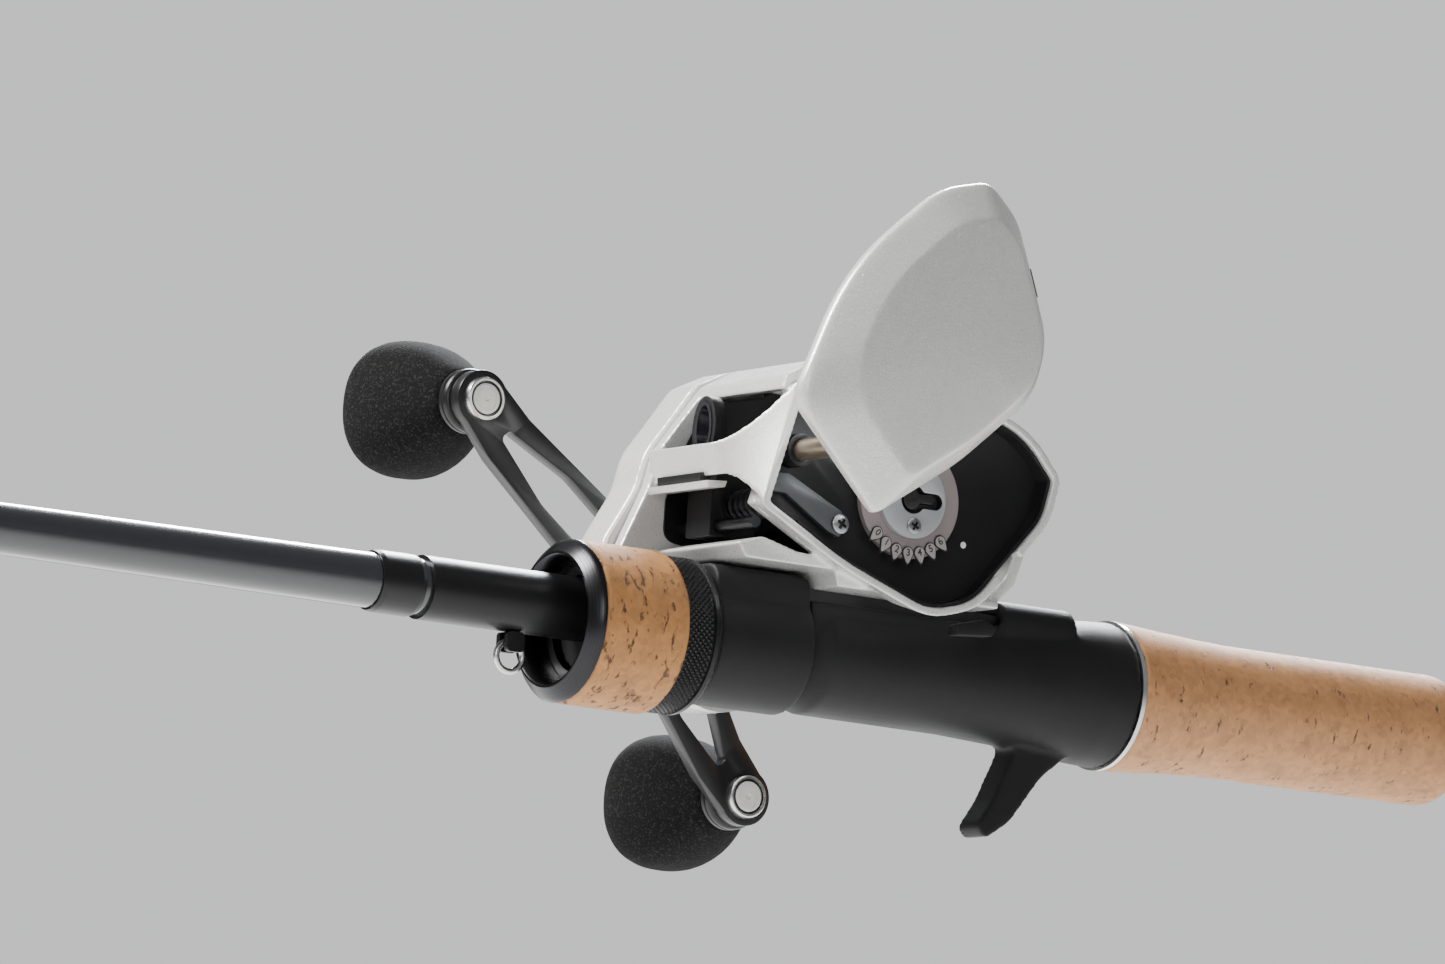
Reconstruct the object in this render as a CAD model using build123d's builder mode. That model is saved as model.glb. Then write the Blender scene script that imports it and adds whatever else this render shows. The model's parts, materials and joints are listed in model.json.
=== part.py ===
from build123d import *
import os
from math import atan2, cos, degrees, pi, radians, sin, sqrt, tan

# A short casting rod with a low-profile reel, modelled piece by piece, in millimetres.
# +X runs along the rod toward the butt and the tip is toward -X. +Z is up. The reel's palm side
# faces -Y and its handle is on +Y. The origin is on the grips' axis, in the middle of the rear
# grip's straight stretch, where a rod holder takes it.

# ---------------------------------------------------------------- driving dimensions
FIT = 0.02                  # clearance between pieces fixed to each other
RUN = 0.06                  # radial clearance of shafts, pins and sliding sleeves

ROD_LENGTH = 914.0
BUTT_X = 31.0
TIP_X = BUTT_X - ROD_LENGTH
BLANK_Z = 2.5               # the blank lies a little above the grips' axis
BLANK_R = 5.2
BLANK_BORE_R = 3.7
BLANK_TIP_R, BLANK_TIP_BORE_R = 0.95, 0.45
BLANK_STRAIGHT_X = -207.0   # forward of this the blank tapers
BLANK_BUTT_X = 20.0         # the blank ends here, inside the rear grip
SLEEVE_R = 5.9              # the sleeve over the blank ahead of the fore grip

REAR_GRIP_X = -53.0
REAR_GRIP_R = 14.4
HOLDER_R = 12.8             # the rear grip's straight stretch
HOLDER_HALF = 22.0
FORE_GRIP_X = -175.0
FORE_GRIP_R = 15.2
NUT_R = 14.6
NUT_CORE_R = 11.3           # the nut's forward tube, on which the fore grip sits
NUT_SHOULDER_X = -156.8     # the fore grip ends here against the nut's knurled band
NUT_END_X = -148.0
BARREL_R = 9.0
BARREL_X = -170.0
HOOD_END_X = -127.0
SEAT_TOP_Z = 9.1            # the flat on which the reel foot lies

SPOOL_X, SPOOL_Z = -113.0, 28.8
SPOOL_R = 15.4
SPOOL_HALF = 11.5
PALM_Y = -22.0              # parting plane of the palm-side opening
PALM_INNER_Y = -12.5
PLATE_Y = 12.6              # inner face of the handle-side plate
GEAR_Y = 15.6               # inner face of the gear side
CASE_Y = 29.5               # outer face of the gear case
WALL = 1.6

GEAR_MODULE = 0.6
MAIN_TEETH, PINION_TEETH = 68, 10
SHAFT_TEETH, WORM_TEETH = 34, 18
PRESSURE_ANGLE = radians(25)
CRANK_U = -17.0
CRANK_W = -sqrt((GEAR_MODULE * (MAIN_TEETH + PINION_TEETH) / 2) ** 2 - CRANK_U**2)
WORM_U = -25.5
WORM_W = CRANK_W + sqrt((GEAR_MODULE * (SHAFT_TEETH + WORM_TEETH) / 2) ** 2 - (WORM_U - CRANK_U) ** 2)

ARM_HALF = 47.2             # crank axis to knob spindle
ARM_TILT = radians(46.6)
ARM_Y = 53.3                # inner face of the arm's ends
ARM_THICK = 3.0
KNOB_Y = 60.0
KNOB_LENGTH = 30.0
CRANK_SHAFT_R = 3.5

PIN_U, PIN_W = -26.5, 5.7   # hinge pin of the side cover
PIN_R = 2.0
COVER_TURN = 61.0           # degrees that the cover has swung open
COVER_OUT = 14.0            # how far it has been pulled out
COVER_GAP = 0.3
HOOK_U, HOOK_W = 22.0, -10.6  # the cover's hook, on the outline's rear edge
HOOK_ANGLE = -129.8
HOOK_LENGTH = 5.5
GUIDE_Y = 4.0               # where the line guide stands along its travel

# Outlines seen from the palm side, as (along the rod, up) from the spool axis, with corner radii
PALM_OUTLINE = [
    (-34.6, -5.4), (-27.2, 20.6), (0, 24.4), (24.5, 15.8), (32, 7.7), (30, -1), (15, -19), (4, -22),
    (-16, -15),
]
PALM_RADII = [1.5, 6, 75, 20, 3.5, 12, 14, 14, 60]
CASE_OUTLINE = [
    (-44, -11), (-37.5, 0), (-35.8, 7), (-31, 13.5), (-25.8, 20.8), (-18, 24.6), (0, 26.2), (12, 25.2),
    (27, 17), (33, 5), (29, -8), (14, -27), (-2, -36.5), (-17, -40), (-32, -36.5), (-42, -25),
]
CASE_RADII = [6, 12, 12, 12, 4, 12, 30, 20, 12, 8, 14, 20, 20, 14, 12, 10]
PLATE_OUTLINE = [
    (-43, -12.8), (-37.2, 0), (-35.5, 7), (-30.7, 13.5), (-25.5, 20.5), (-18, 24.3), (0, 25.8),
    (12, 24.8), (26.5, 16.8), (32.5, 5), (28, -8), (22, -19.5), (-8, -22.4), (-28, -21), (-33, -16.5),
]


# ---------------------------------------------------------------- helpers
def side(y, turn=0.0, u=0.0, w=0.0):
    """A side-view plane at y, its normal toward the palm side, about a point near the spool axis."""
    a = radians(turn)
    return Plane(origin=(SPOOL_X + u, y, SPOOL_Z + w), x_dir=(cos(a), 0, sin(a)), z_dir=(0, -1, 0))


def across(x, z=0.0):
    """A plane across the rod at x, with local x toward the handle side and local y up."""
    return Plane(origin=(x, 0, z), x_dir=(0, 1, 0), z_dir=(1, 0, 0))


def rounded(points, radii):
    """A closed outline whose corners are rounded, one radius a corner."""
    with BuildLine() as line:
        FilletPolyline(*points, radius=radii, close=True)
    return line.line


def turned(profile, z=0.0):
    """A piece turned about a line along the rod; profile is (x, radius) corners."""
    with BuildPart() as piece:
        with BuildSketch(Plane(origin=(0, 0, z), x_dir=(1, 0, 0), z_dir=(0, -1, 0))):
            Polygon(*profile, align=None)
        revolve(axis=Axis((0, 0, z), (1, 0, 0)))
    return piece


def spun(profile, u=0.0, w=0.0):
    """A piece turned about a cross-ways axis at (u, w) from the spool axis; profile is (y, radius)."""
    x, z = SPOOL_X + u, SPOOL_Z + w
    with BuildPart() as piece:
        with BuildSketch(Plane(origin=(x, 0, z), x_dir=(0, 1, 0), z_dir=(1, 0, 0))):
            Polygon(*profile, align=None)
        revolve(axis=Axis((x, 0, z), (0, 1, 0)))
    return piece


def tube(low, high, inner, outer):
    """Corners of a tube's half section."""
    return [(low, inner), (low, outer), (high, outer), (high, inner)]


def blank_radius(x):
    """The blank's outer radius at x."""
    if x >= BLANK_STRAIGHT_X:
        return BLANK_R
    share = (BLANK_STRAIGHT_X - x) / (BLANK_STRAIGHT_X - TIP_X)
    return BLANK_R + (BLANK_TIP_R - BLANK_R) * share


def involute_gear(teeth, first_tooth, plane, width, bore, slack=0.05, tip=0.8):
    """A spur gear with involute flanks; first_tooth is the angle in degrees of a tooth's middle."""
    pitch_r = GEAR_MODULE * teeth / 2
    base_r = pitch_r * cos(PRESSURE_ANGLE)
    tip_r = pitch_r + tip * GEAR_MODULE
    root_r = pitch_r - 1.15 * GEAR_MODULE
    start_r = max(base_r, root_r)
    half = pi / (2 * teeth) - slack / pitch_r + tan(PRESSURE_ANGLE) - PRESSURE_ANGLE
    steps = 4
    flank = []
    for i in range(steps + 1):
        r = start_r + (tip_r - start_r) * i / steps
        roll = sqrt(max((r / base_r) ** 2 - 1, 0))
        flank.append((r, half - (roll - atan2(roll, 1))))
    corners = []
    for tooth in range(teeth):
        middle = radians(first_tooth) + 2 * pi * tooth / teeth
        side_a = [(r, middle - a) for r, a in flank]
        side_b = [(r, middle + a) for r, a in reversed(flank)]
        ring = [(root_r, side_a[0][1])] if root_r < start_r - 1e-6 else []
        ring += side_a + side_b
        ring += [(root_r, side_b[-1][1])] if root_r < start_r - 1e-6 else []
        corners += [(r * cos(a), r * sin(a)) for r, a in ring]
    with BuildPart() as gear:
        with BuildSketch(plane):
            Polygon(*corners, align=None)
            Circle(bore, mode=Mode.SUBTRACT)
        extrude(amount=width)
    return gear


pieces = {}

# ---------------------------------------------------------------- blank, guides and tip
pieces["rod_blank"] = turned(
    [
        (TIP_X, BLANK_TIP_BORE_R), (TIP_X, BLANK_TIP_R), (BLANK_STRAIGHT_X, BLANK_R),
        (BLANK_BUTT_X, BLANK_R), (BLANK_BUTT_X, BLANK_BORE_R), (BLANK_STRAIGHT_X, BLANK_BORE_R),
    ],
    BLANK_Z,
)
SLEEVE_FRONT_X = -206.3
pieces["blank_sleeve"] = turned(tube(SLEEVE_FRONT_X, BARREL_X - 0.1, BLANK_R + FIT, SLEEVE_R), BLANK_Z)
COLLAR_FRONT_X, COLLAR_REAR_X = -216.9, -207.8
COLLAR_R, COLLAR_EDGE_R = 5.7, 5.45
pieces["trim_collar"] = turned(
    [
        (COLLAR_FRONT_X, BLANK_R + FIT), (COLLAR_FRONT_X, COLLAR_EDGE_R), (COLLAR_FRONT_X + 1.0, COLLAR_R),
        (COLLAR_REAR_X - 0.8, COLLAR_R), (COLLAR_REAR_X, COLLAR_EDGE_R), (COLLAR_REAR_X, BLANK_R + FIT),
    ],
    BLANK_Z,
)

GUIDES = [  # place along the rod, radius of the line's hole, height of the ring above the blank's axis
    (-410.0, 5.2, 17.0),
    (-540.0, 4.0, 13.0),
    (-655.0, 3.2, 10.5),
    (-755.0, 2.9, 9.0),
    (-830.0, 2.9, 8.0),
]
FOOT_HALF = 13.0            # half length of a guide over its two feet
FOOT_INNER = 5.0
RING_WALL = 0.9
RING_THICK = 1.8            # along the rod
TIP_HOLE_R = 2.4
TIP_RING_WALL = 0.8
TIP_TOP_Z = BLANK_Z + 5.4
TIP_TUBE_R = blank_radius(TIP_X + FOOT_HALF)
WRAP_LENGTH = 8.6
WRAP_THICK = 1.0

with BuildPart() as guide_rings:
    for x, hole_r, height in GUIDES:
        with BuildSketch(across(x - RING_THICK / 2, BLANK_Z + height)):
            Circle(hole_r + RING_WALL)
            Circle(hole_r, mode=Mode.SUBTRACT)
        extrude(amount=RING_THICK)
    with BuildSketch(across(TIP_X + 0.8, TIP_TOP_Z)):
        Circle(TIP_HOLE_R + TIP_RING_WALL)
        Circle(TIP_HOLE_R, mode=Mode.SUBTRACT)
    extrude(amount=RING_THICK)
pieces["guide_rings"] = guide_rings

with BuildPart() as guide_wraps:
    for x, hole_r, height in GUIDES:
        seat_r = blank_radius(x + FOOT_HALF)
        for end in (-1, 1):
            low = x + end * (FOOT_INNER + 5.2) - WRAP_LENGTH / 2
            with BuildSketch(across(low, BLANK_Z)):
                Circle(seat_r + WRAP_THICK)
                Circle(seat_r + FIT, mode=Mode.SUBTRACT)
                # the foot's way under the thread
                with Locations((0, seat_r + 0.4)):
                    Rectangle(2.0, 1.0, mode=Mode.SUBTRACT)
            extrude(amount=WRAP_LENGTH)
pieces["guide_wraps"] = guide_wraps

for number, (x, hole_r, height) in enumerate(GUIDES, 1):
    seat_r = blank_radius(x + FOOT_HALF) + FIT
    ring_r = hole_r + RING_WALL
    with BuildPart() as guide_frame:
        with BuildSketch(across(x - 0.75, BLANK_Z + height)):
            Circle(ring_r + FIT + 0.8)
            Circle(ring_r + FIT, mode=Mode.SUBTRACT)
        extrude(amount=1.5)
        rise = height - ring_r - 0.5
        for end in (-1, 1):
            with BuildSketch(Plane(origin=(x, 0, BLANK_Z), x_dir=(1, 0, 0), z_dir=(0, -1, 0))):
                Polygon(
                    (0, rise + 0.3), (0, rise - 1.5), (end * (FOOT_INNER - 1), seat_r + 0.1),
                    (end * FOOT_HALF, seat_r), (end * FOOT_HALF, seat_r + 0.35),
                    (end * (FOOT_INNER + 0.5), seat_r + 0.8), align=None,
                )
            extrude(amount=0.9, both=True)
    pieces[f"guide_frame_{number}"] = guide_frame

with BuildPart() as tip_top:
    with BuildSketch(across(TIP_X + 1.0, BLANK_Z)):
        Circle(TIP_TUBE_R + 0.55)
        Circle(TIP_TUBE_R + FIT, mode=Mode.SUBTRACT)
    extrude(amount=12)
    with BuildSketch(across(TIP_X + 1.0, TIP_TOP_Z)):
        Circle(TIP_HOLE_R + 2 * TIP_RING_WALL)
        Circle(TIP_HOLE_R + TIP_RING_WALL + FIT, mode=Mode.SUBTRACT)
        with Locations((0, BLANK_Z - TIP_TOP_Z)):
            Circle(TIP_TUBE_R + FIT, mode=Mode.SUBTRACT)
    extrude(amount=1.4)
pieces["tip_top"] = tip_top

# ---------------------------------------------------------------- grips and reel seat
GRIP_END_X, GRIP_END_R = 27.0, 8.6
with BuildPart() as rear_grip:
    with BuildSketch(Plane.XZ):
        with BuildLine():
            Polyline((REAR_GRIP_X, 0), (REAR_GRIP_X, REAR_GRIP_R))
            Spline((REAR_GRIP_X, REAR_GRIP_R), (-HOLDER_HALF, HOLDER_R), tangents=[(1, -0.06), (1, 0)])
            Polyline((-HOLDER_HALF, HOLDER_R), (HOLDER_HALF, HOLDER_R))
            RadiusArc((HOLDER_HALF, HOLDER_R), (GRIP_END_X, GRIP_END_R), 5.2)
            Polyline((GRIP_END_X, GRIP_END_R), (GRIP_END_X, 0), (REAR_GRIP_X, 0))
        make_face()
    revolve(axis=Axis.X)
    with BuildSketch(across(REAR_GRIP_X - 1, BLANK_Z)):
        Circle(BLANK_R + FIT)
    extrude(amount=BLANK_BUTT_X - REAR_GRIP_X + 1.1, mode=Mode.SUBTRACT)
pieces["rear_grip"] = rear_grip
pieces["butt_cap"] = turned([
    (GRIP_END_X, 0), (GRIP_END_X, GRIP_END_R), (29.8, 7.8), (BUTT_X, 6.2), (BUTT_X, 0),
])
SEAT_RING_THICK = 0.9
with BuildPart() as seat_ring:
    with BuildSketch(across(REAR_GRIP_X - SEAT_RING_THICK)):
        Circle(REAR_GRIP_R - 0.1)
        with Locations((0, BLANK_Z)):
            Circle(BLANK_R + FIT, mode=Mode.SUBTRACT)
    extrude(amount=SEAT_RING_THICK)
pieces["seat_ring"] = seat_ring

POCKET_TOP_Z = 11.45        # inside of the hoods that hold the reel foot down
FOOT_THICK = 2.2
FOOT_WIDTH = 14.6
POCKET_WIDTH = FOOT_WIDTH + 0.3
FOOT_FRONT_X, FOOT_REAR_X = -140.5, -78.5
REAR_HOOD_X = -83.5
SEAT_END_X = REAR_GRIP_X - SEAT_RING_THICK
TRIGGER_HALF = 3.4
TRIGGER_FRONT_X, TRIGGER_REAR_X, TRIGGER_TOP_Z = -75.5, -60.0, -8.0
SEAT_FLAT_X = -126.5        # the seat's flat platform starts here, behind the moving hood
with BuildPart() as reel_seat:
    with BuildSketch(Plane.XZ):
        Polygon(
            (BARREL_X, 0), (BARREL_X, BARREL_R), (SEAT_FLAT_X, BARREL_R), (-122, 11.3), (-90, 11.5),
            (-72, 12.4), (-60, 13.6), (SEAT_END_X, 13.9), (SEAT_END_X, 0), align=None,
        )
    revolve(axis=Axis.X)
    with BuildSketch(across(SEAT_FLAT_X)):
        with Locations((0, 4.0)):
            RectangleRounded(18.6, 13.0, 1.5)
    extrude(amount=REAR_HOOD_X - SEAT_FLAT_X)
    with BuildSketch(across(REAR_HOOD_X)):
        with Locations((0, 6.4)):
            RectangleRounded(19.4, 16.0, 5)
    extrude(amount=17)
    with BuildSketch(across(FOOT_FRONT_X - 1)):
        with Locations((0, SEAT_TOP_Z + 5)):
            Rectangle(24, 10)
    extrude(amount=REAR_HOOD_X - FOOT_FRONT_X + 1, mode=Mode.SUBTRACT)
    with BuildSketch(across(REAR_HOOD_X - 1)):
        with Locations((0, (SEAT_TOP_Z + POCKET_TOP_Z) / 2)):
            Rectangle(POCKET_WIDTH, POCKET_TOP_Z - SEAT_TOP_Z)
    extrude(amount=FOOT_REAR_X - REAR_HOOD_X + 1.2, mode=Mode.SUBTRACT)
    with BuildSketch(Plane.XZ.offset(-TRIGGER_HALF)):
        with BuildLine():
            FilletPolyline(
                (TRIGGER_FRONT_X, TRIGGER_TOP_Z), (-75, -13.5), (-79, -22.5), (-82.5, -28), (-80.5, -30.4),
                (-75, -26.5), (-68.5, -17.5), (TRIGGER_REAR_X, -10.5), (TRIGGER_REAR_X, TRIGGER_TOP_Z),
                radius=[2, 12, 1.5, 1.5, 8, 14, 2], close=False,
            )
            Line((TRIGGER_REAR_X, TRIGGER_TOP_Z), (TRIGGER_FRONT_X, TRIGGER_TOP_Z))
        make_face()
    extrude(amount=2 * TRIGGER_HALF)
    with BuildSketch(across(BARREL_X - 1, BLANK_Z)):
        Circle(BLANK_R + FIT)
    extrude(amount=SEAT_END_X - BARREL_X + 2, mode=Mode.SUBTRACT)
pieces["reel_seat"] = reel_seat

NUT_FRONT_X = -171.5
pieces["lock_nut"] = turned([
    (NUT_FRONT_X, BARREL_R + RUN), (NUT_FRONT_X, NUT_CORE_R), (NUT_SHOULDER_X, NUT_CORE_R),
    (NUT_SHOULDER_X, NUT_R), (-150.5, NUT_R), (-148.6, 13.6), (NUT_END_X, 12.4),
    (NUT_END_X, BARREL_R + RUN),
])
pieces["fore_grip"] = turned(tube(FORE_GRIP_X, NUT_SHOULDER_X - FIT, NUT_CORE_R + FIT, FORE_GRIP_R))
BEZEL_BORE_R = 11.9
BEZEL_R = 15.15
BEZEL_FRONT_X = -177.6
pieces["fore_bezel"] = turned([
    (BEZEL_FRONT_X, BEZEL_BORE_R), (BEZEL_FRONT_X, 12.6), (-175.3, BEZEL_R), (FORE_GRIP_X - FIT, BEZEL_R),
    (FORE_GRIP_X - FIT, BEZEL_BORE_R),
])

HOOD_GAP = 0.15             # between the nut and the moving hood
with BuildPart() as moving_hood:
    with BuildSketch(across(NUT_END_X + HOOD_GAP)):
        Circle(12)
        with Locations((0, 6.9)):
            RectangleRounded(19, 13.6, 4)
        Circle(BARREL_R + RUN, mode=Mode.SUBTRACT)
    extrude(amount=HOOD_END_X - NUT_END_X - HOOD_GAP)
    with BuildSketch(across(FOOT_FRONT_X - 0.2)):
        with Locations((0, (SEAT_TOP_Z + POCKET_TOP_Z) / 2)):
            Rectangle(POCKET_WIDTH, POCKET_TOP_Z - SEAT_TOP_Z + 0.1)
    extrude(amount=20, mode=Mode.SUBTRACT)
pieces["moving_hood"] = moving_hood

KEEPER_X, KEEPER_Z = -186.0, -6.1
KEEPER_HOLE_R = 2.3
KEEPER_PIN_R = 0.55
with BuildPart() as hook_keeper:
    with BuildSketch(Plane.XZ.offset(-0.6)):
        with Locations((KEEPER_X, KEEPER_Z - KEEPER_HOLE_R + KEEPER_PIN_R + RUN)):
            Circle(KEEPER_HOLE_R + 1.1)
            Circle(KEEPER_HOLE_R, mode=Mode.SUBTRACT)
    extrude(amount=1.2)
pieces["hook_keeper"] = hook_keeper
LUG_TOP_Z = BLANK_Z - SLEEVE_R - FIT
LUG_HALF = 2.0
with BuildPart() as keeper_lug:
    with BuildSketch(Plane.XZ.offset(-LUG_HALF)):
        with Locations((KEEPER_X, (LUG_TOP_Z + KEEPER_Z - 1.0) / 2)):
            RectangleRounded(3.6, LUG_TOP_Z - KEEPER_Z + 1.0, 0.8)
    extrude(amount=2 * LUG_HALF)
    with BuildSketch(Plane.XZ.offset(-0.8)):
        with Locations((KEEPER_X, KEEPER_Z - 1)):
            Rectangle(5, 7)
    extrude(amount=1.6, mode=Mode.SUBTRACT)
    with BuildSketch(Plane.XZ.offset(-LUG_HALF)):
        with Locations((KEEPER_X, KEEPER_Z)):
            Circle(KEEPER_PIN_R)
    extrude(amount=2 * LUG_HALF)
pieces["keeper_lug"] = keeper_lug

# ---------------------------------------------------------------- reel frame
with BuildPart() as reel_foot:
    with BuildSketch(Plane.XY.offset(SEAT_TOP_Z + FIT)):
        with Locations(((FOOT_FRONT_X + FOOT_REAR_X) / 2, 0)):
            RectangleRounded(FOOT_REAR_X - FOOT_FRONT_X, FOOT_WIDTH, 4)
    extrude(amount=FOOT_THICK - FIT)
pieces["reel_foot"] = reel_foot
DECK_W = SEAT_TOP_Z + FOOT_THICK - SPOOL_Z

# sections of the frame's front bar, deck, top hood and rear wall, about the spool axis
BAR = [(-37.6, 6.8), (-33.6, 7.3), (-32.4, 2.6), (-35.8, 0.9)]
DECK = [
    (-35, -11.8), (-29.5, -10.2), (-22, -12.0), (-13.5, -12.7), (-9.5, -15.9), (24, -15.9),
    (24, DECK_W + FIT), (-12.4, DECK_W + FIT), (-13.2, -14.5), (-33, -14.5),
]
HOOD = [
    (-27.2, 17.6), (-26.6, 20.2), (-19.8, 24.0), (-10.6, 25.6), (-3, 25.8), (-3, 23.6), (-10, 23.0),
    (-18, 21.2), (-23.6, 18.0),
]
REAR = [(23, -17.4), (28, -12.4), (32.2, 1), (31, 6.8), (28.9, 6.4), (29.6, 1), (26, -11), (22, -15.9)]
SECTION_STARTS = [
    (BAR, -8.0), (DECK, PALM_INNER_Y - 3), (HOOD, PALM_INNER_Y - 3), (REAR, PALM_INNER_Y - 2),
]
PILLAR = [
    (-7.9, BAR),
    (-13.0, [(-35.0, 9.0), (-31.8, 9.2), (-32.4, 1.4), (-35.4, 0.2)]),
    (-18.0, [(-31.6, 13.6), (-28.9, 13.6), (-32.4, -2.2), (-34.8, -2.2)]),
    (PALM_Y, [(-27.6, 19.6), (-25.6, 19.2), (-32.4, -5.2), (-34.4, -4.6)]),
]
PALM_DEPTH = PALM_INNER_Y - PALM_Y
SHELF_DEPTH = 6.0           # from the parting plane to the palm opening's floor
SHAFT_BEARING_R = 4.0       # outer radii of the ball bearings
SPOOL_BEARING_R = 5.0
CRANK_BEARING_R = 4.5
WORM_END_R = 1.5
with BuildPart() as reel_frame:
    with BuildSketch(side(GEAR_Y)):
        with BuildLine():
            Polyline(*PLATE_OUTLINE, close=True)
        make_face()
    extrude(amount=GEAR_Y - PLATE_Y)
    with BuildSketch(side(PALM_Y)):
        with BuildLine():
            add(rounded(PALM_OUTLINE, PALM_RADII))
        make_face()
    extrude(amount=-PALM_DEPTH, taper=14)
    for section, low in SECTION_STARTS:
        with BuildSketch(side(PLATE_Y + 1)):
            Polygon(*section, align=None)
        extrude(amount=PLATE_Y + 1 - low)
    # the palm pillar widens in a sweep from the front bar to the palm opening's front edge
    for y, section in PILLAR:
        with BuildSketch(side(y)):
            Polygon(*section, align=None)
    loft()
    # the palm opening, its shelf and the way out for the spool
    with BuildSketch(side(PALM_Y - 1)):
        with BuildLine():
            add(rounded(PALM_OUTLINE, PALM_RADII))
        make_face()
        offset(amount=-WALL, kind=Kind.INTERSECTION, mode=Mode.REPLACE)
    extrude(amount=-(SHELF_DEPTH + 1), mode=Mode.SUBTRACT)
    with BuildSketch(side(PALM_Y - 1)):
        Circle(SPOOL_R + 0.6)
        Polygon((-31, 0.5), (-22.5, 0.5), (-22.5, 15.5), (-26.7, 15.5), align=None)
    extrude(amount=-PALM_DEPTH - 3, mode=Mode.SUBTRACT)
    # shaft holes through the handle-side plate, and the worm's blind hole on the palm side
    with BuildSketch(side(GEAR_Y + 1)):
        Circle(SPOOL_BEARING_R + FIT)
        with Locations((CRANK_U, CRANK_W)):
            Circle(CRANK_BEARING_R + FIT)
        with Locations((WORM_U, WORM_W)):
            Circle(WORM_END_R + RUN)
    extrude(amount=GEAR_Y - PLATE_Y + 2, mode=Mode.SUBTRACT)
    with BuildSketch(side(PALM_INNER_Y + 0.5)):
        with Locations((WORM_U, WORM_W)):
            Circle(WORM_END_R + RUN)
    extrude(amount=2.2, mode=Mode.SUBTRACT)
    # the break in the rim where the cover's hook passes
    with BuildSketch(side(PALM_Y - 1)):
        with Locations(Location((HOOK_U, HOOK_W), HOOK_ANGLE)):
            Rectangle(HOOK_LENGTH + 0.7, 5.0)
    extrude(amount=-4, mode=Mode.SUBTRACT)
pieces["reel_frame"] = reel_frame

GEAR_PLATE_THICK = 1.2
with BuildPart() as gear_plate:
    with BuildSketch(side(GEAR_Y + GEAR_PLATE_THICK)):
        with BuildLine():
            add(rounded(CASE_OUTLINE, CASE_RADII))
        make_face()
        Circle(4.2, mode=Mode.SUBTRACT)
        with Locations((CRANK_U, CRANK_W)):
            Circle(2.6, mode=Mode.SUBTRACT)
        with Locations((WORM_U, WORM_W)):
            Circle(2.0, mode=Mode.SUBTRACT)
    extrude(amount=GEAR_PLATE_THICK - FIT)
pieces["gear_plate"] = gear_plate

CASE_INNER_Y = CASE_Y - 2.0
CASE_SHOULDER_Y = CASE_Y - 4.0
CASE_START_Y = GEAR_Y + GEAR_PLATE_THICK + FIT
CLEAR_CUT = 12.0            # long enough to cut right through the case's outer wall
with BuildPart() as gear_case:
    with BuildSketch(side(CASE_START_Y)):
        with BuildLine():
            add(rounded(CASE_OUTLINE, CASE_RADII))
        make_face()
    extrude(amount=-(CASE_SHOULDER_Y - CASE_START_Y))
    with BuildSketch(side(CASE_SHOULDER_Y)):
        with BuildLine():
            add(rounded(CASE_OUTLINE, CASE_RADII))
        make_face()
    extrude(amount=-(CASE_Y - CASE_SHOULDER_Y), taper=40)
    with BuildSketch(side(GEAR_Y)):
        with BuildLine():
            add(rounded(CASE_OUTLINE, CASE_RADII))
        make_face()
        offset(amount=-WALL, kind=Kind.INTERSECTION, mode=Mode.REPLACE)
    extrude(amount=-(24.2 - GEAR_Y), mode=Mode.SUBTRACT)
    with BuildSketch(side(GEAR_Y)):
        with Locations((CRANK_U, CRANK_W)):
            Circle(16)
    extrude(amount=-(CASE_INNER_Y - GEAR_Y), mode=Mode.SUBTRACT)
    with BuildSketch(side(CASE_Y + 3.4)):
        Circle(5.9)
        with Locations((CRANK_U, CRANK_W)):
            Circle(7.5)
    extrude(amount=5.0)
    with BuildSketch(side(CASE_Y + 5)):
        with Locations((CRANK_U, CRANK_W)):
            Circle(CRANK_SHAFT_R + RUN)
    extrude(amount=CLEAR_CUT, mode=Mode.SUBTRACT)
    with BuildSketch(side(CASE_Y + 5)):
        Circle(1.7)
    extrude(amount=CLEAR_CUT, mode=Mode.SUBTRACT)
    with BuildSketch(side(CASE_INNER_Y)):
        Circle(SHAFT_BEARING_R + FIT)
    extrude(amount=4, mode=Mode.SUBTRACT)
pieces["gear_case"] = gear_case

PALM_PLATE_THICK = 1.7
LINER_GAP = 0.8             # from the parting plane down to the liner's edge
with BuildPart() as palm_plate:
    with BuildSketch(side(PALM_Y + SHELF_DEPTH - FIT)):
        with BuildLine():
            add(rounded(PALM_OUTLINE, PALM_RADII))
        make_face()
        offset(amount=-WALL - 0.5, kind=Kind.INTERSECTION, mode=Mode.REPLACE)
    extrude(amount=PALM_PLATE_THICK)
    # the wall that lines the palm opening, left out beside the cover pin
    with BuildSketch(side(PALM_Y + LINER_GAP)):
        with BuildLine():
            add(rounded(PALM_OUTLINE, PALM_RADII))
        make_face()
        offset(amount=-WALL - 0.15, kind=Kind.INTERSECTION, mode=Mode.REPLACE)
    extrude(amount=-(SHELF_DEPTH - LINER_GAP - 1.0))
    with BuildSketch(side(PALM_Y)):
        with BuildLine():
            add(rounded(PALM_OUTLINE, PALM_RADII))
        make_face()
        offset(amount=-WALL - 0.8, kind=Kind.INTERSECTION, mode=Mode.REPLACE)
        with Locations((-32, 0)):
            Rectangle(12, 50)
    extrude(amount=-(SHELF_DEPTH - PALM_PLATE_THICK - FIT), mode=Mode.SUBTRACT)
    # the cover pin's bearing tube
    with BuildSketch(side(PALM_Y)):
        with Locations((PIN_U, PIN_W)):
            Circle(PIN_R + 1.1)
    extrude(amount=-4.4)
    with BuildSketch(side(PALM_Y - 1)):
        Circle(SHAFT_BEARING_R + FIT)
        with Locations((PIN_U, PIN_W)):
            Circle(PIN_R + RUN)
    extrude(amount=-8, mode=Mode.SUBTRACT)
pieces["palm_plate"] = palm_plate

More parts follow.
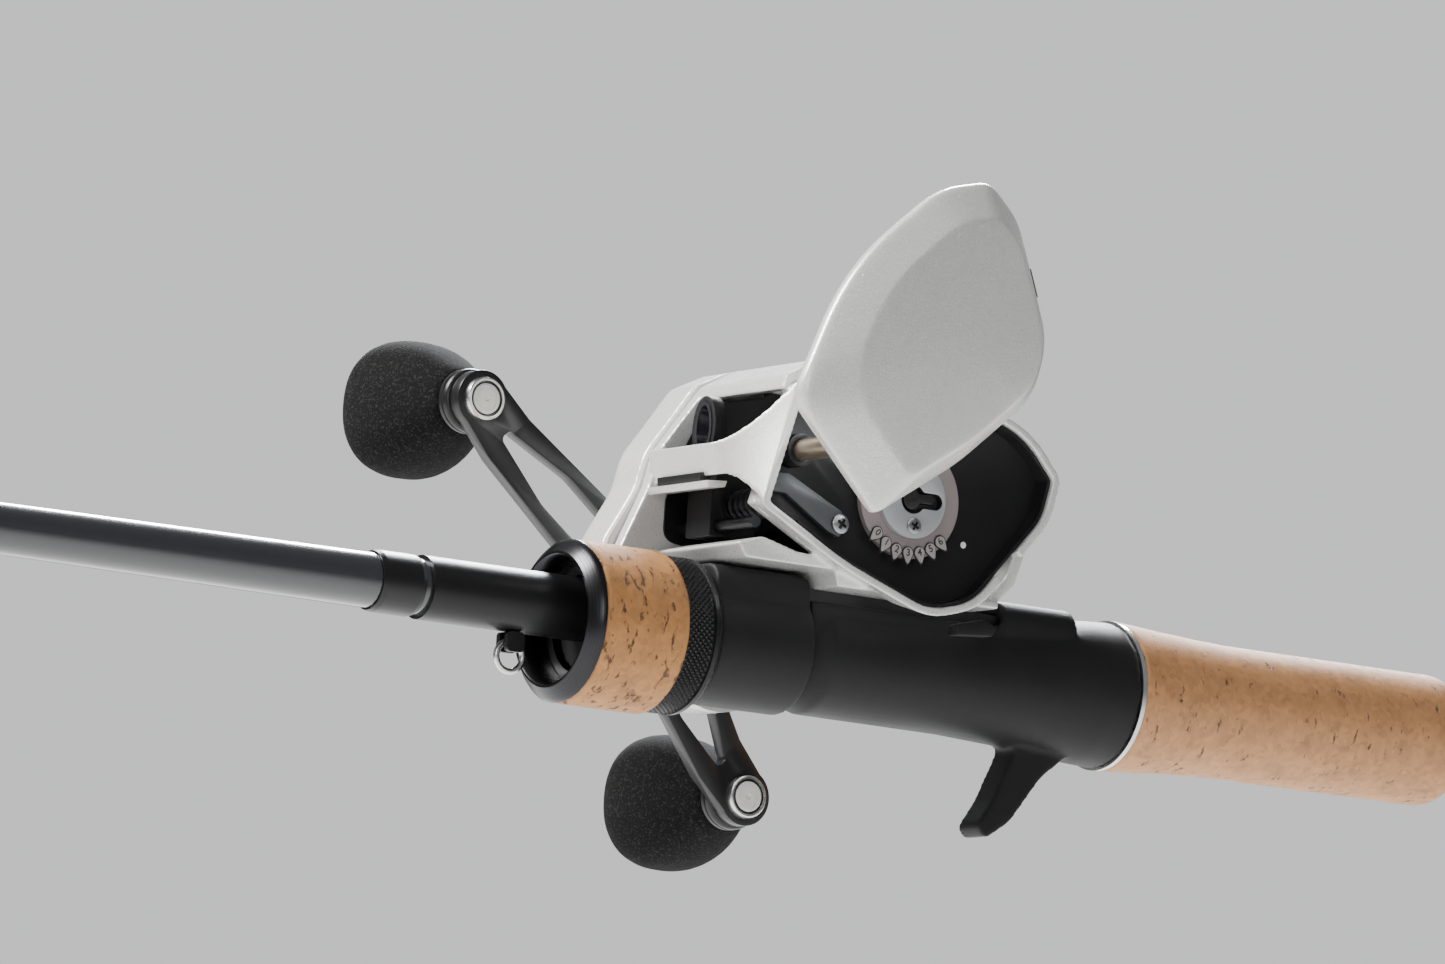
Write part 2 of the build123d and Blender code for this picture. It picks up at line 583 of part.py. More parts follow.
BRAKE_FACE_Y = -20.3
BRAKE_BACK_Y = -17.75
BRAKE_DISC_R = 7.3
with BuildPart() as brake_disc:
    with BuildSketch(side(BRAKE_BACK_Y)):
        Circle(BRAKE_DISC_R)
    extrude(amount=BRAKE_BACK_Y - BRAKE_FACE_Y)
    with BuildSketch(side(BRAKE_FACE_Y)):
        Circle(2.7)
        with Locations((3, 0)):
            SlotOverall(7, 3.0)
    extrude(amount=-1.8, mode=Mode.SUBTRACT)
    with BuildSketch(side(BRAKE_FACE_Y + 1.8)):
        with Locations((2.4, 0.3)):
            SlotOverall(5.0, 1.6)
        Circle(1.9)
    extrude(amount=1.3)
pieces["brake_disc"] = brake_disc

DIAL_STEP = 15.0            # degrees between the dial's settings
with BuildPart() as brake_dial:
    with BuildSketch(side(BRAKE_BACK_Y - 0.05)):
        Circle(11.0)
        Circle(BRAKE_DISC_R + RUN, mode=Mode.SUBTRACT)
        with Locations([Rot(0, 0, -135 + DIAL_STEP * i) * Pos(10.3, 0) for i in range(7)]):
            SlotOverall(4.0, 2.2)
    extrude(amount=1.7)
pieces["brake_dial"] = brake_dial

KEEPER_SCREW = (-15.4, -6.5)
KEEPER_THICK = 1.4
with BuildPart() as pin_keeper:
    with BuildSketch(side(BRAKE_BACK_Y)):
        with BuildLine():
            Polyline(
                (-31, 1.3), (-27.2, 1.5), (-15.2, -4.0), (-13.2, -6.4), (-15.4, -8.9), (-18, -8),
                (-27.6, -2.2), (-31.4, -2.2), close=True,
            )
        make_face()
    extrude(amount=KEEPER_THICK)
pieces["pin_keeper"] = pin_keeper
CASE_SCREWS = [(-31, -19), (-22, 10), (17, 12), (9, -19)]
with BuildPart() as screws:
    for place in CASE_SCREWS:
        with BuildSketch(side(CASE_Y + 0.8)):
            with Locations(place):
                Circle(1.9)
        extrude(amount=0.8 - FIT)
    with BuildSketch(side(BRAKE_BACK_Y - KEEPER_THICK - FIT)):
        with Locations(KEEPER_SCREW):
            Circle(1.8)
    extrude(amount=0.9)
    with BuildSketch(side(BRAKE_FACE_Y - FIT)):
        with Locations((0.3, -5.0)):
            Circle(1.5)
    extrude(amount=0.6)
pieces["screws"] = screws

with BuildPart() as cover_latch:
    with BuildSketch(side(PALM_Y + 3.2)):
        with BuildLine():
            Polyline(
                (10.5, -22.2), (16.5, -20.6), (19.5, -21.8), (18.5, -23.6), (10.5, -24.2), close=True,
            )
        make_face()
    extrude(amount=3.0)
pieces["cover_latch"] = cover_latch

# ---------------------------------------------------------------- side cover, swung open and pulled out
COVER_Y = PALM_Y - COVER_GAP - COVER_OUT
COVER_RIM = 2.4             # the straight edge before the outer face slopes in
COVER_DEPTH = 8.6
COVER_WALL = 1.4
COVER_TAPER = 44


def cover_plane(y):
    """A side-view plane that has swung with the cover; its outline is drawn about the hinge pin."""
    return side(y, COVER_TURN, PIN_U, PIN_W)


COVER_OUTLINE = [(u - PIN_U, w - PIN_W) for u, w in PALM_OUTLINE]
with BuildPart() as side_cover:
    with BuildSketch(cover_plane(COVER_Y)):
        with BuildLine():
            add(rounded(COVER_OUTLINE, PALM_RADII))
        make_face()
    extrude(amount=COVER_RIM)
    with BuildSketch(cover_plane(COVER_Y - COVER_RIM)):
        with BuildLine():
            add(rounded(COVER_OUTLINE, PALM_RADII))
        make_face()
    extrude(amount=COVER_DEPTH - COVER_RIM, taper=COVER_TAPER)
    with BuildSketch(cover_plane(COVER_Y)):
        with BuildLine():
            add(rounded(COVER_OUTLINE, PALM_RADII))
        make_face()
        offset(amount=-COVER_WALL, kind=Kind.INTERSECTION, mode=Mode.REPLACE)
    extrude(amount=COVER_RIM - 0.6, mode=Mode.SUBTRACT)
    with BuildSketch(cover_plane(COVER_Y - COVER_RIM + 0.6)):
        with BuildLine():
            add(rounded(COVER_OUTLINE, PALM_RADII))
        make_face()
        offset(amount=-COVER_WALL, kind=Kind.INTERSECTION, mode=Mode.REPLACE)
    extrude(amount=COVER_DEPTH - COVER_RIM - 0.9, taper=COVER_TAPER, mode=Mode.SUBTRACT)
    # the boss round the hinge pin
    with BuildSketch(cover_plane(COVER_Y - 0.3)):
        Circle(PIN_R + COVER_WALL)
    extrude(amount=2.4)
    with BuildSketch(cover_plane(COVER_Y + 1)):
        Circle(PIN_R + RUN)
    extrude(amount=4.9, mode=Mode.SUBTRACT)
pieces["side_cover"] = side_cover

HOOK_THICK = 0.8
hook_place = Location((HOOK_U - PIN_U, HOOK_W - PIN_W), HOOK_ANGLE)
with BuildPart() as cover_hook:
    with BuildSketch(cover_plane(COVER_Y + FIT)):
        with Locations(hook_place * Pos(0, 0.3)):
            Rectangle(HOOK_LENGTH, 3.4)
    extrude(amount=-0.9)
    with BuildSketch(cover_plane(COVER_Y + FIT)):
        with Locations(hook_place * Pos(0, 1.6)):
            Rectangle(HOOK_LENGTH, HOOK_THICK)
    extrude(amount=-4.2)
pieces["cover_hook"] = cover_hook
PIN_OUTER_Y, PIN_INNER_Y = -40.1, -18.0
pieces["hinge_pin"] = spun(
    [(PIN_OUTER_Y, 0), (PIN_OUTER_Y, PIN_R), (PIN_INNER_Y, PIN_R), (PIN_INNER_Y, 0)], PIN_U, PIN_W
)

# ---------------------------------------------------------------- spool and its drive
SPOOL_SHAFT_R = 1.6
ON_SHAFT_R = SPOOL_SHAFT_R + FIT
SPOOL_CORE_R = 10.0
SPOOL_HOLLOW_R = 8.4        # the open hollow on the palm side, round the brake
with BuildPart() as spool:
    add(spun([
        (-SPOOL_HALF, SPOOL_HOLLOW_R), (-SPOOL_HALF, SPOOL_R), (-10.6, SPOOL_R), (-9.6, SPOOL_CORE_R),
        (9.6, SPOOL_CORE_R), (10.6, SPOOL_R), (SPOOL_HALF, SPOOL_R), (SPOOL_HALF, 4.0),
        (8.6, ON_SHAFT_R), (-2.0, ON_SHAFT_R), (-2.0, SPOOL_HOLLOW_R),
    ]).part)
    with BuildSketch(side(0)):
        with PolarLocations(12.6, 12):
            Circle(1.3)
    extrude(amount=16, both=True, mode=Mode.SUBTRACT)
pieces["spool"] = spool
pieces["spool_shaft"] = spun([(-17.4, 0), (-17.4, SPOOL_SHAFT_R), (32.2, SPOOL_SHAFT_R), (32.2, 0)])
pieces["brake_drum"] = spun(tube(-16.0, -5.5, 7.0, 7.8))
with BuildPart() as brake_blocks:
    with BuildSketch(side(-5.0)):
        with PolarLocations(4.7, 6):
            RectangleRounded(2.6, 2.2, 0.4)
    extrude(amount=3.0)
    with BuildSketch(side(-2.02)):
        Circle(6.2)
        Circle(ON_SHAFT_R, mode=Mode.SUBTRACT)
    extrude(amount=2.98)
pieces["brake_blocks"] = brake_blocks

PINION_SLEEVE_R = 2.25
TRAIN_Y = 18.7              # outer face of the shaft gear and the worm gear
TRAIN_WIDTH = 1.5
MAIN_GEAR_Y = 22.2
MAIN_GEAR_WIDTH = 3.0
ON_CRANK_R = CRANK_SHAFT_R + FIT
to_spool = degrees(atan2(-CRANK_W, -CRANK_U))
with BuildPart() as pinion:
    add(involute_gear(PINION_TEETH, to_spool + 180 + 180 / PINION_TEETH, side(22.6), 3.8, ON_SHAFT_R).part)
    add(spun(tube(12.8, 18.8, ON_SHAFT_R, PINION_SLEEVE_R)).part)
pieces["pinion"] = pinion
with BuildPart() as main_gear:
    crank_view = side(MAIN_GEAR_Y, 0, CRANK_U, CRANK_W)
    add(involute_gear(MAIN_TEETH, to_spool, crank_view, MAIN_GEAR_WIDTH, ON_CRANK_R).part)
    with BuildSketch(crank_view):
        with PolarLocations(12.5, 6):
            Circle(3.2)
    extrude(amount=MAIN_GEAR_WIDTH, mode=Mode.SUBTRACT)
pieces["main_gear"] = main_gear
to_worm = degrees(atan2(WORM_W - CRANK_W, WORM_U - CRANK_U))
pieces["shaft_gear"] = involute_gear(
    SHAFT_TEETH, to_worm, side(TRAIN_Y, 0, CRANK_U, CRANK_W), TRAIN_WIDTH, ON_CRANK_R
)
pieces["worm_gear"] = involute_gear(
    WORM_TEETH, to_worm + 180 + 180 / WORM_TEETH, side(TRAIN_Y, 0, WORM_U, WORM_W), TRAIN_WIDTH,
    WORM_END_R + FIT,
)
CRANK_TIP_R = 2.0           # the crank shaft's inner end, in its bearing
ARM_SEAT_R = 2.8            # the crank shaft's outer end, in the handle arm
ARM_SEAT_Y = 45.9
pieces["drive_shaft"] = spun([
    (12.8, 0), (12.8, CRANK_TIP_R), (16.9, CRANK_TIP_R), (16.9, CRANK_SHAFT_R),
    (ARM_SEAT_Y, CRANK_SHAFT_R), (ARM_SEAT_Y, ARM_SEAT_R), (52.5, ARM_SEAT_R), (52.5, 0),
], CRANK_U, CRANK_W)
WASHER_THICK, WASHER_STEP = 0.66, 0.75
with BuildPart() as drag_washers:
    for i in range(3):
        washer_y = MAIN_GEAR_Y + 2 * FIT + WASHER_STEP * i
        washer = tube(washer_y, washer_y + WASHER_THICK, ON_CRANK_R, 14.0 - i)
        add(spun(washer, CRANK_U, CRANK_W).part)
pieces["drag_washers"] = drag_washers
pieces["one_way_clutch"] = spun(
    tube(25.0, CASE_INNER_Y - FIT, CRANK_SHAFT_R + RUN, 7.0), CRANK_U, CRANK_W
)
with BuildPart() as ball_bearings:
    add(spun(tube(-17.6, -15.0, SPOOL_SHAFT_R + RUN, SHAFT_BEARING_R)).part)
    add(spun(tube(12.7, 15.5, PINION_SLEEVE_R + RUN, SPOOL_BEARING_R)).part)
    add(spun(tube(24.3, CASE_INNER_Y - FIT, SPOOL_SHAFT_R + RUN, SHAFT_BEARING_R)).part)
    add(spun(tube(12.7, 15.5, CRANK_TIP_R + RUN, CRANK_BEARING_R), CRANK_U, CRANK_W).part)
pieces["ball_bearings"] = ball_bearings

# ---------------------------------------------------------------- level wind
WORM_R, WORM_HALF = 2.9, 12.3
GROOVES, GROOVE_PITCH = 11, 2.0
with BuildPart() as worm_shaft:
    add(spun([
        (-13.4, 0), (-13.4, WORM_END_R), (-WORM_HALF, WORM_END_R), (-WORM_HALF, WORM_R),
        (WORM_HALF, WORM_R), (WORM_HALF, WORM_END_R), (19.0, WORM_END_R), (19.0, 0),
    ], WORM_U, WORM_W).part)
    for i in range(GROOVES):
        y = GROOVE_PITCH * (i - (GROOVES - 1) / 2)
        groove = [(y - 0.5, 2.3), (y - 0.9, 3.2), (y + 0.9, 3.2), (y + 0.5, 2.3)]
        add(spun(groove, WORM_U, WORM_W).part, mode=Mode.SUBTRACT)
pieces["worm_shaft"] = worm_shaft
ROD_U, ROD_W, GUIDE_ROD_R = -29.4, -7.2, 1.1
pieces["guide_rod"] = spun(
    [(-12.4, 0), (-12.4, GUIDE_ROD_R), (12.5, GUIDE_ROD_R), (12.5, 0)], ROD_U, ROD_W
)
EYE_U, EYE_W = -30.2, 11.2
EYE_HALF_Y, EYE_HALF_Z = 2.8, 4.9
with BuildPart() as line_guide:
    with BuildSketch(side(GUIDE_Y + 4)):
        with BuildLine():
            Polyline(
                (-31.4, -9.2), (-21.4, -9.2), (-20.8, 1.4), (-28.4, 2.4), (-31.4, 2.4), close=True,
            )
        make_face()
    extrude(amount=8)
    with BuildSketch(side(GUIDE_Y + 2.4)):
        with Locations((EYE_U, 4.4)):
            Rectangle(2.4, 5.0)
    extrude(amount=4.8)
    with BuildSketch(across(SPOOL_X + EYE_U - 1.3, SPOOL_Z + EYE_W)):
        with Locations((GUIDE_Y, 0)):
            Ellipse(3.9, 6.0)
    extrude(amount=2.6)
    with BuildSketch(across(SPOOL_X + EYE_U - 2, SPOOL_Z + EYE_W)):
        with Locations((GUIDE_Y, 0)):
            Ellipse(EYE_HALF_Y + FIT, EYE_HALF_Z + FIT)
    extrude(amount=4, mode=Mode.SUBTRACT)
    with BuildSketch(side(GUIDE_Y + 5)):
        with Locations((WORM_U, WORM_W)):
            Circle(WORM_R + RUN)
        with Locations((ROD_U, ROD_W)):
            Circle(GUIDE_ROD_R + RUN)
    extrude(amount=10, mode=Mode.SUBTRACT)
pieces["line_guide"] = line_guide
with BuildPart() as line_eye:
    with BuildSketch(across(SPOOL_X + EYE_U - 1.5, SPOOL_Z + EYE_W)):
        with Locations((GUIDE_Y, 0)):
            Ellipse(EYE_HALF_Y, EYE_HALF_Z)
            Ellipse(EYE_HALF_Y - 0.7, EYE_HALF_Z - 0.7, mode=Mode.SUBTRACT)
    extrude(amount=3.0)
pieces["line_eye"] = line_eye

THUMB_BAR_HALF = 11.8
with BuildPart() as thumb_bar:
    with BuildSketch(side(THUMB_BAR_HALF)):
        with BuildLine():
            FilletPolyline(
                (18.6, 0.6), (27.4, 2.5), (27.2, 6.3), (24, 7.8), (19.2, 6),
                radius=[0.6, 0.8, 1, 1.5, 1], close=True,
            )
        make_face()
    extrude(amount=2 * THUMB_BAR_HALF)
pieces["thumb_bar"] = thumb_bar

# ---------------------------------------------------------------- controls and handle
CAP_R, CAP_BORE_R = 8.2, 6.0
pieces["cast_cap"] = spun([
    (29.9, CAP_BORE_R + RUN), (29.9, 7.8), (30.4, CAP_R), (34.2, CAP_R), (35.0, 7.4), (35.0, 0), (33.4, 0),
    (33.4, CAP_BORE_R + RUN),
])

STAR_Y = 41.2
STAR_ARMS = 5
STAR_STEP = 360 / STAR_ARMS
with BuildPart() as star_drag:
    with BuildSketch(side(STAR_Y, 0, CRANK_U, CRANK_W)):
        Circle(7.2)
        with Locations([Rot(0, 0, STAR_STEP * i + 20) * Pos(10, 0) for i in range(STAR_ARMS)]):
            SlotOverall(15, 4.6)
        Circle(CRANK_SHAFT_R + RUN, mode=Mode.SUBTRACT)
    extrude(amount=3.4)
    with BuildSketch(side(STAR_Y + 1.6, 0, CRANK_U, CRANK_W)):
        Circle(6)
        Circle(CRANK_SHAFT_R + RUN, mode=Mode.SUBTRACT)
    extrude(amount=8.4)
pieces["star_drag"] = star_drag

arm_dir = Vector(-cos(ARM_TILT), 0, sin(ARM_TILT))
crank_x, crank_z = SPOOL_X + CRANK_U, SPOOL_Z + CRANK_W


def arm_view(y):
    """A side-view plane whose x runs along the arm toward the upper knob."""
    return Plane(origin=(crank_x, y, crank_z), x_dir=tuple(arm_dir), z_dir=(0, -1, 0))


arm_edge = Plane(
    origin=(crank_x, 0, crank_z), x_dir=tuple(arm_dir), z_dir=(-sin(ARM_TILT), 0, -cos(ARM_TILT))
)
ARM_DROP = 7.3              # how far the arm's middle is cranked back toward the reel
ARM_MIDDLE_Y = ARM_Y - ARM_DROP
ARM_OUTER_Y = ARM_Y + ARM_THICK
ARM_BLOCK_Y, ARM_BLOCK = 60.0, 20.0  # where the arm's outline is drawn from, and how deep
ARM_HUB_R, ARM_END_R = 8.2, 5.6
ARM_REACH = 56.0
SPINDLE_R = 2.3
with BuildPart() as handle_arm:
    with BuildSketch(arm_view(ARM_BLOCK_Y)):
        Circle(ARM_HUB_R)
        for end in (-1, 1):
            with Locations((end * ARM_HALF, 0)):
                Circle(ARM_END_R)
            Polygon(
                (0, -ARM_HUB_R), (end * 12, -7.6), (end * ARM_HALF, -5.4), (end * ARM_HALF, 5.4),
                (end * 12, 7.6), (0, ARM_HUB_R), align=None,
            )
            with BuildLine(mode=Mode.PRIVATE) as slot:
                FilletPolyline(
                    (end * 11.5, -4.0), (end * 25, -4.2), (end * 39, -1.2), (end * 39, 1.2), (end * 25, 4.2),
                    (end * 11.5, 4.0), radius=[1, 8, 1, 1, 8, 1], close=True,
                )
            make_face(slot.line, mode=Mode.SUBTRACT)
    extrude(amount=ARM_BLOCK)
    with BuildSketch(arm_edge):
        Polygon(
            (-ARM_REACH, ARM_Y), (-38, ARM_Y), (-14, ARM_MIDDLE_Y), (14, ARM_MIDDLE_Y), (38, ARM_Y),
            (ARM_REACH, ARM_Y), (ARM_REACH, ARM_OUTER_Y), (37.4, ARM_OUTER_Y),
            (13.4, ARM_OUTER_Y - ARM_DROP), (-13.4, ARM_OUTER_Y - ARM_DROP), (-37.4, ARM_OUTER_Y),
            (-ARM_REACH, ARM_OUTER_Y), align=None,
        )
    extrude(amount=12, both=True, mode=Mode.INTERSECT)
    with BuildSketch(arm_view(ARM_BLOCK_Y)):
        Circle(ARM_SEAT_R + FIT)
        with Locations((ARM_HALF, 0), (-ARM_HALF, 0)):
            Circle(SPINDLE_R + FIT)
    extrude(amount=ARM_BLOCK, mode=Mode.SUBTRACT)
pieces["handle_arm"] = handle_arm
NUT_HEX, NUT_CAP = 3.6, 1.4     # thickness of the handle nut's hexagon and of its domed end
with BuildPart() as handle_nut:
    with BuildSketch(arm_view(ARM_OUTER_Y - ARM_DROP + NUT_HEX)):
        RegularPolygon(5.4, 6)
        Circle(ARM_SEAT_R + FIT, mode=Mode.SUBTRACT)
    extrude(amount=NUT_HEX - FIT)
    with BuildSketch(arm_view(ARM_OUTER_Y - ARM_DROP + NUT_HEX + NUT_CAP)):
        Circle(4.4)
    extrude(amount=NUT_CAP - FIT)
pieces["handle_nut"] = handle_nut

knob_places = {
    "upper": (CRANK_U - ARM_HALF * cos(ARM_TILT), CRANK_W + ARM_HALF * sin(ARM_TILT)),
    "lower": (CRANK_U + ARM_HALF * cos(ARM_TILT), CRANK_W - ARM_HALF * sin(ARM_TILT)),
}
DISC_R, DISC_Y = 3.8, 52.2      # the spindles' heads, the pale discs on the arm
SPINDLE_END_Y = 80.0
spindle_profile = [
    (DISC_Y, 0), (DISC_Y, DISC_R), (ARM_Y - FIT, DISC_R), (ARM_Y - FIT, SPINDLE_R),
    (SPINDLE_END_Y, SPINDLE_R), (SPINDLE_END_Y, 0),
]
with BuildPart() as knob_spindles:
    for u, w in knob_places.values():
        add(spun(spindle_profile, u, w).part)
pieces["knob_spindles"] = knob_spindles
collar_profile = [
    (ARM_OUTER_Y + 0.3, SPINDLE_R + RUN), (ARM_OUTER_Y + 0.3, 5.6), (57.1, 6.2), (59.6, 6.2),
    (KNOB_Y - FIT, 5.6), (KNOB_Y - FIT, SPINDLE_R + RUN),
]
# (distance from the knob's foot, half width across, half width along) of the foam's sections
KNOB_SECTIONS = [(0, 6.0, 6.0), (9, 10.2, 10.8), (20, 12.8, 13.4), (27, 10.6, 11.2), (KNOB_LENGTH, 5.0, 5.2)]
for name, (u, w) in knob_places.items():
    pieces[f"knob_collar_{name}"] = spun(collar_profile, u, w)
    with BuildPart() as knob:
        for depth, half_x, half_z in KNOB_SECTIONS:
            with BuildSketch(side(KNOB_Y + depth, 0, u, w)):
                Ellipse(half_x, half_z)
        loft()
        with BuildSketch(side(KNOB_Y - 1, 0, u, w)):
            Circle(SPINDLE_R + RUN)
        extrude(amount=-(SPINDLE_END_Y + 0.4 - KNOB_Y + 1), mode=Mode.SUBTRACT)
    pieces[f"knob_{name}"] = knob

os.makedirs("parts", exist_ok=True)
for name, piece in pieces.items():
    piece.part.label = name
    export_step(piece.part, f"parts/{name}.step")
print(len(pieces), "pieces")
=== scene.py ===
"""A short casting rod with an open low-profile reel, dressed for display.

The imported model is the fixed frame. Each sub-assembly below adds its visible pieces around it
or gives its parts their finish. All lengths in the frame are metres; class fields are millimetres.
"""

import json
import logging
import math
from dataclasses import dataclass, field
from enum import Enum

import bmesh
import bpy
from mathutils import Matrix, Vector, noise


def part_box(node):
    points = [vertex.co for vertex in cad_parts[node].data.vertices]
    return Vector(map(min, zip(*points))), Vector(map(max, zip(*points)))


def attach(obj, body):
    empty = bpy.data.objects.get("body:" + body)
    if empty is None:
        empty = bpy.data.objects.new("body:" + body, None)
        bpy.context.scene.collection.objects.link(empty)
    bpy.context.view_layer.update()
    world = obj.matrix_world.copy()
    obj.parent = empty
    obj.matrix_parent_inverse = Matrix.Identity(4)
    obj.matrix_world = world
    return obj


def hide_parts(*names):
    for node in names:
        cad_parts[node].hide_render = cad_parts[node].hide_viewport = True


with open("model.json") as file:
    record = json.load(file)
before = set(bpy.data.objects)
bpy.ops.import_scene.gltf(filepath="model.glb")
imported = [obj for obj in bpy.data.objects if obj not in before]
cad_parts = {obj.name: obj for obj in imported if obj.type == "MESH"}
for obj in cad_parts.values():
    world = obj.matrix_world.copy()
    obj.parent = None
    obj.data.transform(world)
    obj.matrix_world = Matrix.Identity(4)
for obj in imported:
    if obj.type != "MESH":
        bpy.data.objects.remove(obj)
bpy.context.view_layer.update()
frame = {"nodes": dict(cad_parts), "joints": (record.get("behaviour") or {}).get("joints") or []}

logging.basicConfig(level=logging.INFO, format="%(message)s")
log = logging.getLogger("rod")

MM = 0.001
AXIS_X, AXIS_Y, AXIS_Z = Vector((1, 0, 0)), Vector((0, 1, 0)), Vector((0, 0, 1))
ROD_AXIS = Vector((0, 0, 0))
Point = tuple[float, float]
Colour = tuple[float, float, float]
Socket = bpy.types.NodeSocket
BMesh = bmesh.types.BMesh


# ------ shader node groups
class NodeTree:
    """A node tree with short calls to add, set and join nodes."""

    def __init__(self, tree: bpy.types.NodeTree) -> None:
        """Takes the tree to build in."""
        self.tree = tree

    def add(self, kind: str, inputs: dict | None = None, **settings: object) -> bpy.types.Node:
        """Adds a node.

        Args:
            kind: the node's type, such as ShaderNodeBump.
            inputs: socket name or number to a constant, or to a socket to join from.
            settings: attributes of the node.

        Returns:
            The new node.
        """
        node = self.tree.nodes.new(kind)
        for name, value in settings.items():
            setattr(node, name, value)
        for name, value in (inputs or {}).items():
            if isinstance(value, Socket):
                self.tree.links.new(value, node.inputs[name])
            else:
                node.inputs[name].default_value = value
        return node

    def ramp(self, source: Socket, stops: list[tuple[float, Colour]]) -> Socket:
        """Maps a value to a colour.

        Args:
            source: the value's socket.
            stops: position and colour of each stop.

        Returns:
            The colour's socket.
        """
        node = self.add("ShaderNodeValToRGB", {"Fac": source})
        while len(node.color_ramp.elements) < len(stops):
            node.color_ramp.elements.new(0.5)
        for element, (position, colour) in zip(node.color_ramp.elements, stops):
            element.position = position
            element.color = (*colour, 1)
        return node.outputs["Color"]

    def spread(self, source: Socket, low: float, high: float) -> Socket:
        """Maps a value from 0..1 to low..high and returns the result's socket."""
        node = self.add("ShaderNodeMapRange", {"Value": source, "To Min": low, "To Max": high})
        return node.outputs["Result"]

    def bump(self, height: Socket, depth: float) -> Socket:
        """Returns the normal of a bump of this depth in millimetres."""
        node = self.add("ShaderNodeBump", {"Height": height, "Distance": depth * MM, "Strength": 1.0})
        return node.outputs["Normal"]

    def join(self, node: bpy.types.Node, sockets: dict[str, Socket]) -> None:
        """Joins sockets to a node's inputs, by the inputs' names."""
        for name, socket in sockets.items():
            self.tree.links.new(socket, node.inputs[name])


def new_group(name: str, inputs: dict[str, tuple[str, float]], outputs: dict[str, str]) -> tuple:
    """Starts a shader node group.

    Args:
        name: the group's name.
        inputs: socket name to its type and default.
        outputs: socket name to its type.

    Returns:
        The group's NodeTree and the sockets of its input node.
    """
    group = bpy.data.node_groups.new(name, "ShaderNodeTree")
    for label, (kind, default) in inputs.items():
        socket = group.interface.new_socket(label, in_out="INPUT", socket_type=kind)
        if kind == "NodeSocketFloat":
            socket.default_value = default
    for label, kind in outputs.items():
        group.interface.new_socket(label, in_out="OUTPUT", socket_type=kind)
    tree = NodeTree(group)
    return tree, tree.add("NodeGroupInput").outputs


def make_flake_group() -> None:
    """Metal flake in a paint: a random value for each flake, and a sparkle for the rare ones."""
    tree, given = new_group(
        "metal_flake",
        {"Vector": ("NodeSocketVector", 0), "Size": ("NodeSocketFloat", 4000)},
        {"Value": "NodeSocketFloat", "Sparkle": "NodeSocketFloat"},
    )
    cells = tree.add("ShaderNodeTexVoronoi", {"Vector": given["Vector"], "Scale": given["Size"]})
    parts = tree.add("ShaderNodeSeparateColor", {"Color": cells.outputs["Color"]})
    rare = tree.add("ShaderNodeMapRange", {"Value": parts.outputs["Green"], "From Min": 0.90})
    tree.add("NodeGroupOutput", {"Value": parts.outputs["Red"], "Sparkle": rare.outputs["Result"]})


def make_grain_group() -> None:
    """Moulded or blasted grain: a fine height, and a slow smudge value."""
    tree, given = new_group(
        "moulded_grain",
        {"Vector": ("NodeSocketVector", 0), "Size": ("NodeSocketFloat", 2500)},
        {"Height": "NodeSocketFloat", "Smudge": "NodeSocketFloat"},
    )
    vector = given["Vector"]
    fine = tree.add("ShaderNodeTexNoise", {"Vector": vector, "Scale": given["Size"], "Detail": 3.0})
    slow = tree.add("ShaderNodeTexNoise", {"Vector": vector, "Scale": 70.0, "Detail": 4.0})
    tree.add("NodeGroupOutput", {"Height": fine.outputs["Fac"], "Smudge": slow.outputs["Fac"]})


def make_cork_group() -> None:
    """Cork: granule tone, dark pits and cracks, and the height that goes with them."""
    tree, given = new_group(
        "cork_grain",
        {"Vector": ("NodeSocketVector", 0), "Pits": ("NodeSocketFloat", 0.5)},
        {"Tone": "NodeSocketFloat", "Pit": "NodeSocketFloat", "Height": "NodeSocketFloat"},
    )
    vector = given["Vector"]
    cells = tree.add("ShaderNodeTexVoronoi", {"Vector": vector, "Scale": 900.0})
    granule = tree.add("ShaderNodeSeparateColor", {"Color": cells.outputs["Color"]}).outputs["Red"]
    mottle = tree.add("ShaderNodeTexNoise", {"Vector": vector, "Scale": 260.0, "Detail": 5.0}).outputs["Fac"]
    streak = tree.add("ShaderNodeMapping", {"Vector": vector, "Scale": (1.0, 0.45, 0.45)})
    cloud = tree.add(
        "ShaderNodeTexNoise",
        {"Vector": streak.outputs["Vector"], "Scale": 620.0, "Detail": 7.0, "Roughness": 0.68},
    )
    start = tree.add("ShaderNodeMath", {0: 0.70, 1: given["Pits"]}, operation="SUBTRACT").outputs[0]
    full = tree.add("ShaderNodeMath", {0: start, 1: 0.07}, operation="ADD").outputs[0]
    ramp = {"Value": cloud.outputs["Fac"], "From Min": start, "From Max": full}
    pit = tree.add("ShaderNodeMapRange", ramp).outputs["Result"]
    tone = tree.add("ShaderNodeMath", {0: granule, 1: 0.35, 2: mottle}, operation="MULTIPLY_ADD")
    height = tree.add("ShaderNodeMath", {0: pit, 1: -2.5, 2: mottle}, operation="MULTIPLY_ADD")
    tree.add("NodeGroupOutput", {"Tone": tone.outputs[0], "Pit": pit, "Height": height.outputs[0]})


class Groups(Enum):
    """The effects that several finishes share."""

    FLAKE = "metal_flake"
    GRAIN = "moulded_grain"
    CORK = "cork_grain"

    def place(self, tree: NodeTree, **inputs: object) -> bpy.types.Node:
        """Places this group in a material, with its own input values, and returns its node."""
        return tree.add("ShaderNodeGroup", inputs, node_tree=bpy.data.node_groups[self.value])


